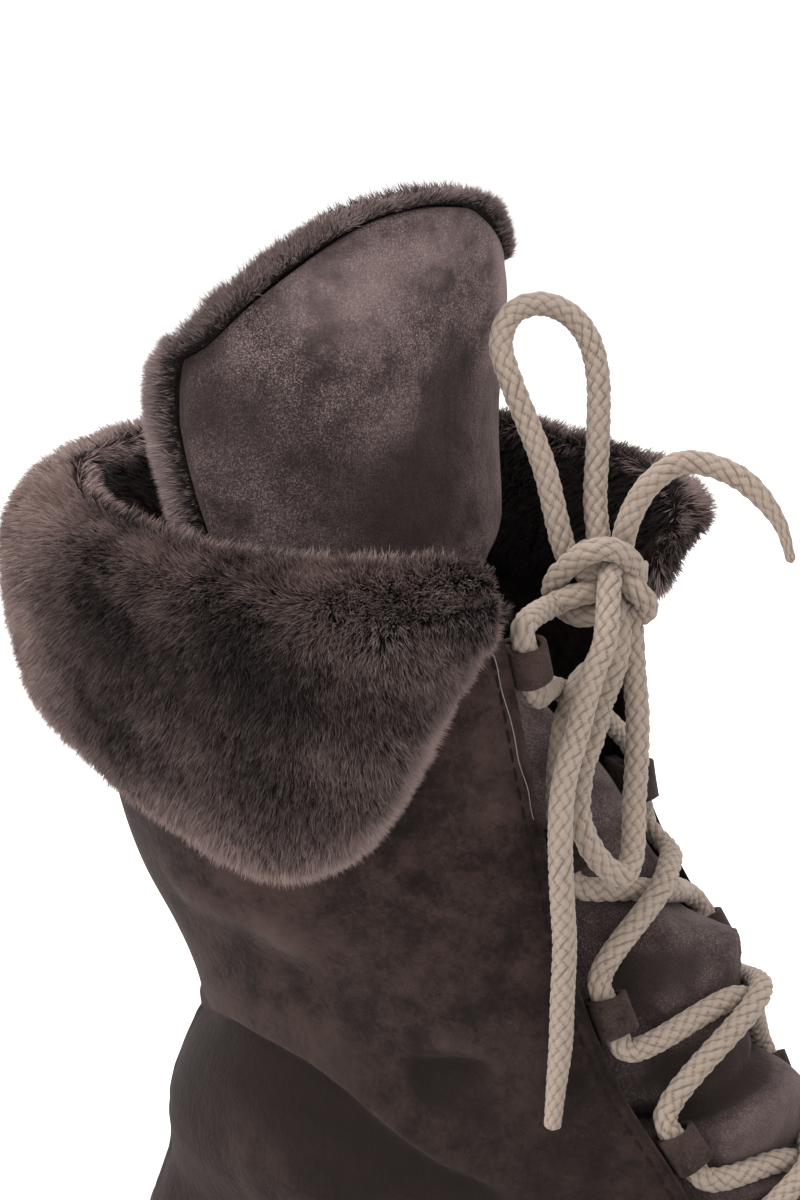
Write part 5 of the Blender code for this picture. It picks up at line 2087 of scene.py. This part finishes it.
@dataclass
class Lacing:
    """The tabs behind the throat's edges and the lace that runs through them."""

    cotton: bpy.types.Material
    suede: bpy.types.Material
    thread: bpy.types.Material
    tongue: Tongue
    plait: Plait = Plait()
    heights: tuple[float, ...] = (0.938, 0.763, 0.615, 0.487, 0.375)
    width: float = 0.008
    strip: float = 0.0012
    tail: float = 0.0072
    room: float = 0.0005
    clear: float = 0.0014
    stitch_radius: float = 0.00022
    raised: tuple[tuple[float, float], ...] = (
        (0, 0), (0.003, -0.006), (0.010, 0.001), (0.004, 0), (0, 0)
    )
    knot_at: tuple[float, float, float] = (0.1155, -0.005, 0.208)
    turn: float = radians(32)
    tilt: float = radians(15.5)

    def tab_frame(self, side: int, share: float) -> tuple[Array, Array, Array, Array]:
        """A tab's root and its directions into the throat, outward and up along the edge.

        Args:
            side: the sign of y.
            share: the tab's height as a share of the shaft's.

        Returns:
            The root and the three directions.
        """
        height = share * LAST.shaft_height
        edge = LAST.throat(height, side)

        def inside(along: float) -> Array:
            """Point on the shell's inner face.

            Args:
                along: the way along the contour.

            Returns:
                The point.
            """
            way = np.array([along])
            out = face_out(LAST.outer, height, side, way)[0]
            return LAST.outer(height, side, way)[0] - out * (LAST.wall + 3 * LAST.gap)

        def rim(at: float) -> Array:
            """Point on the throat's edge."""
            return LAST.outer(at, side, np.array([LAST.throat(at, side)]))[0]

        here = inside(edge)
        up = unit(rim(height + 0.002) - rim(height - 0.002))
        into = here - inside(edge + self.tail)
        into = unit(into - up * into.dot(up))
        return here, into, unit(np.cross(into, up) * -side), up

    def radius(self) -> float:
        """Outer radius of a tab's loop."""
        return self.plait.diameter / 2 + self.room + self.strip

    def make_tabs(self) -> None:
        """Ten folded strips of suede, each sewn behind the throat's edge, and their stitches.

        Returns:
            Nothing; the pieces are put into the scene.
        """
        runs = []
        for side in Side:
            word = side.name.lower()
            for number, share in enumerate(self.heights, 1):
                here, into, out, up = self.tab_frame(side, share)
                reach, rise = self.radius() + self.clear, self.radius() - 2 * self.strip
                middle = self.radius() - self.strip / 2
                arc = np.linspace(-pi / 2, pi + asin(min(rise / self.radius(), 1)), 34)
                path = [(-self.tail * share_back, -1.5 * self.strip) for share_back in (1, 0.5, 0)]
                path += [(reach + middle * cos(a), rise + middle * sin(a)) for a in arc]
                path += [(-self.tail * share_back, -0.5 * self.strip) for share_back in (0, 0.5, 1)]
                line = smooth_line([Vector((x, y, 0)) for x, y in path], 0.0006)
                across = np.linspace(-0.5, 0.5, 11)
                waist = 1 - 0.10 * np.exp(-(((line[:, 0] - reach - middle * 0.6) / 0.003) ** 2))
                grid = (
                    here
                    + line[:, None, :1] * into
                    + line[:, None, 1:2] * out
                    + (across[None, :, None] * self.width * waist[:, None, None]) * up
                )
                bend = np.abs(across)[None, :] * 2 * np.ones((len(line), 1))
                fold = bend**8 * 0.45 - 0.1
                tab = sheet(f"tab_{word}_{number}", grid, self.suede, "tab_suede", fold=fold)
                thicken(tab, self.strip, 0.0)
                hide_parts(f"lace_tab_{word}_{number}")
                for way in (-0.36, 0.36):
                    start = here + into * 0.0004 + up * self.width * way + out * 0.00005
                    end = start + into * (reach - middle * 0.7 - 0.0004)
                    runs.append((np.linspace(start, end, 6), np.tile(out, (6, 1))))
        sewn = Stitching(length=0.0014, gap=0.0005, radius=self.stitch_radius)
        sewn.sew("tab_stitches", runs, self.thread, "tab_suede")

    def through(self, side: int, number: int) -> list[Array]:
        """Top, middle and bottom of the lace's run through a tab.

        Args:
            side: the sign of y.
            number: the tab's number, from the top.

        Returns:
            The three places.
        """
        here, into, out, up = self.tab_frame(side, self.heights[number - 1])
        middle = here + into * (self.radius() + self.clear) + out * (self.radius() - 2 * self.strip)
        half = self.width / 2 + 0.65 * self.plait.diameter
        return [middle + up * half, middle, middle - up * half]

    def crossing(self, first: Array, last: Array, over: int, row: int) -> Array:
        """Middle of a strand between two tabs, clear of the tongue and of the strand under it.

        Args:
            first: where the strand leaves a tab.
            last: where it enters the next one.
            over: 1 if it lies on the other strand.
            row: the crossing's number, from the top.

        Returns:
            The middle of the strand.
        """
        rise, aside = self.raised[row - 1]
        height = (first[2] + last[2]) / 2 + rise
        front = self.tongue.surface(height, Side.OUTER, np.zeros(1))[0]
        out = face_out(self.tongue.surface, height, Side.OUTER, np.array([0.0015]))[0]
        out[1] = 0
        out = unit(out)
        chord = np.array([(first[0] + last[0]) / 2, 0, height])
        clear = self.plait.diameter / 2 + 0.0016
        lift = max((chord - front).dot(out), clear) + over * (self.plait.diameter + 0.0006)
        point = front + out * (lift + 0.3 * rise)
        point[2] = height + (point[2] - height) * 0.5
        point[1] += aside
        return point

    def faced(self, right: float, up: float, out: float) -> Array:
        """A place given as the bow faces, in metres from the knot's middle.

        Args:
            right: how far to the right.
            up: how far up.
            out: how far forward.

        Returns:
            The place, from the heel's back.
        """
        across = np.array([cos(self.turn), sin(self.turn), 0])
        level = cos(self.tilt)
        toward = np.array([sin(self.turn) * level, -cos(self.turn) * level, sin(self.tilt)])
        return np.array(self.knot_at) + across * right + np.cross(toward, across) * up + toward * out

    def from_knot(self, route: Sequence[tuple[float, float, float]]) -> list[Array]:
        """Places given as the bow faces, in millimetres from the knot's middle."""
        return [self.faced(*(mm / 1000 for mm in point)) for point in route]

    def line(self) -> Array:
        """The lace from the knot down both sides of the throat and back to the knot.

        Returns:
            The centreline's points.
        """
        leaves = [(1.5, -2.0, 0.5), (-1.5, -2.1, 3.0), (-5.0, -3.0, 3.6), (-8.6, -4.6, 3.0)]
        outer, inner = Side
        route = self.from_knot(leaves)
        last = None
        for side, number in [(outer, 1), (inner, 2), (outer, 3), (inner, 4), (outer, 5)]:
            top, middle, bottom = self.through(side, number)
            if last is not None:
                route.append(self.crossing(last, top, int(side is outer), number - 1))
            route += [top, middle, bottom]
            last = bottom
        top, middle, bottom = self.through(inner, 5)
        route.append(self.crossing(last, bottom, 0, 5))
        route += [bottom, middle, top]
        last = top
        for side, number in [(outer, 4), (inner, 3), (outer, 2), (inner, 1)]:
            top, middle, bottom = self.through(side, number)
            route.append(self.crossing(last, bottom, int(side is inner), number))
            route += [bottom, middle, top]
            last = top
        route[-1] = middle + (top - middle) * 0.6
        route += self.from_knot([(6.5, -2.0, -9.0), (3.0, -1.5, -5.0), (1.0, -1.0, -2.0)])
        return smooth_line(route, self.plait.step)

    def make_crossings(self, line: Array) -> None:
        """The plaited lace along this line."""
        piece = lace_piece("lace_crossings_plait", self.plait, [line], self.cotton)
        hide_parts("lace_crossings")


class Strand(NamedTuple):
    """A free strand of the bow: its route as the bow faces, in millimetres, and how its far end is."""

    route: tuple[tuple[float, float, float], ...]
    free: bool = False
    tip: float = 1.0


STRANDS = {
    "lace_loop_up": Strand(
        ((-4.6, 2.6, 0), (-6.4, 6.0, 0.5), (-10.3, 21.3, 2), (-13.7, 30.4, 2), (-16.7, 38, 2),
         (-18.5, 45.2, 1), (-16.2, 50.8, 0), (-11, 52.7, -1), (-5.7, 51, -2), (-1.9, 46.6, -2),
         (0, 40, -2), (0.2, 28.5, -2), (-0.4, 15.2, -2), (0.1, 8.6, -1), (0.4, 3.6, -1)),
    ),
    "lace_loop_down": Strand(
        ((2.6, -2.5, 1.2), (3.8, -8, 2.6), (3.7, -13.3, 3), (2.1, -19, 3.5), (0.4, -23.3, 4),
         (-1.5, -29.8, 6.5), (-3.4, -34.7, 8.5), (-4.2, -39, 11), (-4.5, -43, 12.5), (-3.5, -47, 13),
         (-1.3, -51.1, 12), (1.8, -54.3, 10.5), (4.4, -55.0, 8.5), (6, -51.8, 6), (6.4, -48.2, 4.5),
         (6.6, -43, 3), (7.2, -34.3, 2), (7.4, -25.6, 1.5), (6.8, -16.9, 1), (6.3, -9, 1), (5.6, -4, 0)),
    ),
    "lace_end_right": Strand(
        ((3.6, 2.6, 0.5), (4.75, 7.8, 1), (5.3, 10.3, 2), (7.2, 14.8, 3), (9.9, 18.6, 4), (15.8, 22.2, 5),
         (25.9, 19.4, 6), (33.3, 11.2, 7), (35.9, 3.2, 7)),
        True,
        0.42,
    ),
    "lace_end_down": Strand(
        ((2.4, 4.6, -1), (2.2, 2.6, 3.4), (1.8, 0.2, 6.0), (1.4, -3.2, 8.0), (1.0, -8.0, 10),
         (0.3, -12.3, 11.5), (-1.5, -16.5, 13), (-3.5, -22.8, 15), (-5.2, -29.1, 17), (-6.8, -34, 18.5),
         (-7.9, -39.5, 19.5), (-8.3, -45.8, 20), (-8.1, -54.2, 19), (-7.6, -61, 16), (-7.1, -67.3, 13),
         (-7.3, -78.7, 9), (-7.5, -87.2, 7), (-8.3, -95.5, 6), (-9.0, -103.5, 5)),
        True,
        0.72,
    ),
}
KNOT_STRANDS = [
    # the strand that arches over the knot's top, and comes out again as the bulge at its right
    ((-5.0, -3.6, -3.0), (-8.2, -2.4, -1.2), (-8.0, 0.2, 1.6), (-5.9, 2.7, 4.2), (-3.0, 4.9, 6.4),
     (0.6, 5.9, 7.0), (3.7, 5.2, 6.0), (5.9, 3.4, 4.2), (7.0, 1.2, 2.0), (6.6, -0.6, -0.6),
     (4.8, -1.6, -2.6)),
    ((1.6, 1.4, -0.5), (3.8, 1.0, 1.8), (5.6, -0.4, 3.4), (7.4, -2.4, 3.8), (8.8, -4.2, 2.6),
     (8.9, -5.8, 0.2), (7.2, -6.4, -2.4), (4.0, -5.4, -3.4)),
    # the strand below, half hidden by the one that comes from the outer side
    ((-8.0, -3.0, -2.6), (-6.0, -5.4, -1.0), (-3.4, -6.6, 0.0), (-0.4, -6.2, 0.4), (2.6, -5.0, -0.8)),
    ((-5, 2, -5), (-1, 6.0, -4.4), (4, 4.4, -5), (3.4, -2, -5.6), (-2, -4.6, -5.2)),
    ((-4.4, 0.6, 1.2), (-1.4, 1.6, 2.2), (1.8, 0.8, 1.4), (4.4, 1.2, -0.6)),
]


@dataclass
class Bow:
    """The knot, the two loops and the two ends."""

    lacing: Lacing

    def make(self) -> None:
        """Makes the knot, then each free strand.

        Returns:
            Nothing; the pieces are put into the scene.
        """
        lacing = self.lacing
        wraps = [smooth_line(lacing.from_knot(wrap), lacing.plait.step) for wrap in KNOT_STRANDS]
        knot = lace_piece("lace_knot_wraps", lacing.plait, wraps, lacing.cotton)
        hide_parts("lace_knot")
        for name, strand in STRANDS.items():
            line = smooth_line(lacing.from_knot(strand.route), lacing.plait.step)
            piece = lace_piece(f"{name}_plait", lacing.plait, [line], lacing.cotton, strand.tip)
            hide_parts(name)
            path = into_frame(line[::8])


# ---------------------------------------------------------------- the sole


# the sole's edge from below: how far it stands out in shares of the welt, and its share of the height
SOLE_EDGE = [
    (-0.6, 0.0), (0.3, 0.02), (0.5, 0.12), (0.74, 0.42), (0.8, 0.5), (0.72, 0.54), (0.40, 0.56),
    (0.35, 0.60), (0.35, 0.66), (0.6, 0.68), (0.94, 0.71), (1.0, 0.74), (1.0, 0.92), (0.94, 0.97),
    (0.8, 1.0),
]


@dataclass
class Sole:
    """Rubber unit with ribbed sides and a cut tread, and the fleece footbed above it."""

    rubber: bpy.types.Material
    fleece: bpy.types.Material
    columns: int = 96
    tread_bar: float = 0.009
    tread_groove: float = 0.005
    tread_depth: float = 0.003
    footbed: float = 0.006
    sharp: float = 38.0

    def stacked(self, rings: Sequence[Array]) -> tuple[Array, Array]:
        """Points and quads of a closed solid through rings, from the lowest to the highest.

        Args:
            rings: the rings, of as many points each.

        Returns:
            The points and the quads.
        """
        grid = np.array(rings)
        rows, count = grid.shape[:2]
        faces = [grid_faces(rows, count, closed=True)]
        last = 2 * self.columns
        for first, flip in ((0, True), ((rows - 1) * count, False)):
            k = np.arange(self.columns - 1)
            quads = np.stack([first + k, first + k + 1, first + last - k - 1, first + last - k], axis=1)
            nose = [[first, first + last, first + count - 1, first + count - 1]]
            middle = self.columns
            heel = [[first + middle - 1, first + middle, first + middle + 1, first + middle + 1]]
            lid = np.vstack([quads, nose, heel])
            faces.append(lid[:, ::-1] if flip else lid)
        return grid.reshape(-1, 3), np.vstack(faces)

    def solid(
        self, name: str, rings: Sequence[Array], finish: bpy.types.Material
    ) -> bpy.types.Object:
        """A closed piece through rings, with its faces turned outward.

        Args:
            name: the piece's name.
            rings: the rings.
            finish: the material.

        Returns:
            The piece.
        """
        points, faces = self.stacked(rings)
        flat = [tuple(dict.fromkeys(int(i) for i in face)) for face in faces]
        mesh = bpy.data.meshes.new(name)
        mesh.from_pydata([tuple(p) for p in into_frame(points)], [], flat)
        body = bmesh.new()
        body.from_mesh(mesh)
        bmesh.ops.recalc_face_normals(body, faces=body.faces)
        if body.calc_volume(signed=True) < 0:
            bmesh.ops.reverse_faces(body, faces=body.faces)
        body.to_mesh(mesh)
        body.free()
        mesh.shade_smooth()
        mesh.set_sharp_from_angle(angle=radians(self.sharp))
        return placed(name, mesh, finish)

    def grooves(self) -> bpy.types.Collection:
        """Cutters of the tread, one bar of space for each groove.

        Returns:
            The collection of cutters.
        """
        group = bpy.data.collections.new("tread_cutters")
        bpy.context.scene.collection.children.link(group)
        step = self.tread_bar + self.tread_groove
        heel_end = LAST.heel_front * LAST.foot_length - self.tread_bar
        places = list(np.arange(0.022, heel_end, step))
        fore, toe = (LAST.arch_end + 0.02) * LAST.foot_length, 0.93 * LAST.foot_length
        places += list(np.arange(fore, toe, step))
        for i, x in enumerate(places, 1):
            mesh = bmesh.new()
            size = Vector((self.tread_groove, 2 * LAST.ball_width, 2 * self.tread_depth))
            bmesh.ops.create_cube(mesh, size=1, matrix=Matrix.Diagonal(size).to_4x4())
            data = bpy.data.meshes.new(f"tread_cut_{i}")
            mesh.to_mesh(data)
            mesh.free()
            cut = bpy.data.objects.new(data.name, data)
            low, ahead = (float(LAST.sole_bottom(np.array(at))) for at in (x, x + step))
            cut.location = Vector((x, 0, low)) + Vector(LAST.origin())
            cut.rotation_euler = (0, -atan2(ahead - low, step), radians(-10))
            cut.hide_render = True
            cut.display_type = "WIRE"
            group.objects.link(cut)
        group.hide_render = True
        return group

    def make(self) -> None:
        """Makes the rubber unit and the footbed.

        Returns:
            Nothing; the pieces are put into the scene.
        """
        outline = LAST.ring(0.0, self.columns)
        rings = []
        for out, share in SOLE_EDGE:
            ring = turned_in(outline, -out * LAST.welt)
            low = LAST.sole_bottom(ring[:, 0])
            ring[:, 2] = low + share * (LAST.sole_top(ring[:, 0]) - low)
            rings.append(ring)
        sole = self.solid("outsole_rubber", rings, self.rubber)
        cut = sole.modifiers.new("tread", "BOOLEAN")
        cut.operation = "DIFFERENCE"
        cut.operand_type = "COLLECTION"
        cut.collection = self.grooves()
        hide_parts("outsole")
        rings = []
        for depth, rise in ((0.0015, 0), (0.0008, 0.4), (0.0008, 0.8), (0.0014, 0.95), (0.0030, 1)):
            ring = turned_in(outline, LAST.wall + depth)
            ring[:, 2] = LAST.sole_top(ring[:, 0]) + LAST.wall + 2 * LAST.gap + rise * self.footbed
            rings.append(ring)
        bed = self.solid("footbed_fleece", rings, self.fleece)
        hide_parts("insole")


# ---------------------------------------------------------------- the studio


class Lamp(NamedTuple):
    """A round area light: its name, place, width and power."""

    name: str
    place: tuple[float, float, float]
    size: float
    power: float


LAMPS = [
    Lamp("key", (-0.60, -0.70, 0.95), 0.6, 9.0),
    Lamp("top", (0.10, 0.05, 1.25), 0.8, 6.0),
    Lamp("rim", (-0.65, 0.85, 0.75), 0.7, 6.0),
]


@dataclass(frozen=True)
class Studio:
    """White sweep, soft light from all round, and the camera at the photograph's place."""

    azimuth: float = 32.0
    elevation: float = 15.5
    distance: float = 0.570
    lens: float = 85.0
    aim: tuple[float, float, float] = (0.068, 0.0, 0.196)
    lit_at: tuple[float, float, float] = (0.0, 0.0, 0.13)
    sky: float = 1.06
    floor: float = 25.0

    def make(self) -> None:
        """Sets up the camera, the floor, the lights and the world.

        Returns:
            Nothing; the camera, the floor and the lamps are put into the scene.
        """
        scene = bpy.context.scene
        scene.view_settings.view_transform = "Standard"
        a, e = radians(self.azimuth), radians(self.elevation)
        back = Vector((sin(a) * cos(e), -cos(a) * cos(e), sin(e)))
        aim = Vector(self.aim) + Vector(LAST.origin())
        data = bpy.data.cameras.new("camera")
        data.lens = self.lens
        data.sensor_width = 36
        data.clip_start, data.clip_end = 0.02, 60
        camera = bpy.data.objects.new("camera", data)
        camera.location = aim + back * self.distance
        aimed(camera, -back)
        scene.collection.objects.link(camera)
        scene.camera = camera
        floor = bpy.data.meshes.new("floor")
        body = bmesh.new()
        bmesh.ops.create_circle(body, cap_ends=True, radius=self.floor, segments=64)
        body.to_mesh(floor)
        body.free()
        ground = bpy.data.objects.new("floor", floor)
        ground.data.materials.append(Backdrop("floor_white").material())
        scene.collection.objects.link(ground)
        world = bpy.data.worlds.new("studio")
        scene.world = world
        world.use_nodes = True
        sky = world.node_tree.nodes["Background"]
        sky.inputs["Color"].default_value = (1, 1, 1, 1)
        sky.inputs["Strength"].default_value = self.sky
        for name, place, size, power in LAMPS:
            light = bpy.data.lights.new(name, "AREA")
            light.shape = "DISK"
            light.size = size
            light.energy = power
            lamp = bpy.data.objects.new(name, light)
            lamp.location = place
            aimed(lamp, Vector(self.lit_at) - lamp.location)
            scene.collection.objects.link(lamp)


def main() -> None:
    """Builds the studio and the boot, piece by piece.

    Returns:
        Nothing; the scene is complete.
    """
    logging.basicConfig(level=logging.INFO, format="%(message)s")
    Studio().make()
    suede = Suede("suede_upper").material()
    tongue_suede = Suede(
        "suede_tongue",
        deep=(0.0240, 0.0165, 0.0155),
        body=(0.0980, 0.0690, 0.0660),
        rubbed_and_lit=(0.260, 0.190, 0.183),
        tips=1.0,
        specks=(0.44, 0.70),
        blotch=20.0,
        dark_below=(0.120, 0.262),
        darker=0.55,
        sheen=0.14,
    ).material()
    tab_suede = Suede(
        "suede_tabs", body=(0.047, 0.030, 0.026), tips=0.6, specks=(0.50, 0.72), darker=0.2
    ).material()
    fur = Pile("cuff_pile").material()
    edge_fur = Pile("tongue_pile", body=(0.060, 0.041, 0.038), tip=(0.32, 0.245, 0.232)).material()
    fleece = Fleece("fleece_lining").material()
    hide = Fleece("pile_ground", dark=(0.005, 0.0035, 0.0032), light=(0.018, 0.0125, 0.0115)).material()
    cotton = Cotton("lace_plait").material()
    thread = Thread("sewing_thread").material()
    stray = Thread("stray_thread", colour=(0.17, 0.155, 0.145)).material()
    tongue = Tongue(tongue_suede, edge_fur, hide)
    lacing = Lacing(cotton, tab_suede, thread, tongue)
    Bow(lacing).make()
    lace = lacing.line()
    lacing.make_crossings(lace)
    lacing.make_tabs()
    tongue.make(lace)
    Shell(suede, fleece, thread, stray).make()
    Cuff(fur, hide).make()
    Sole(Rubber("sole_rubber").material(), fleece).make()


if __name__ == "__main__":
    main()
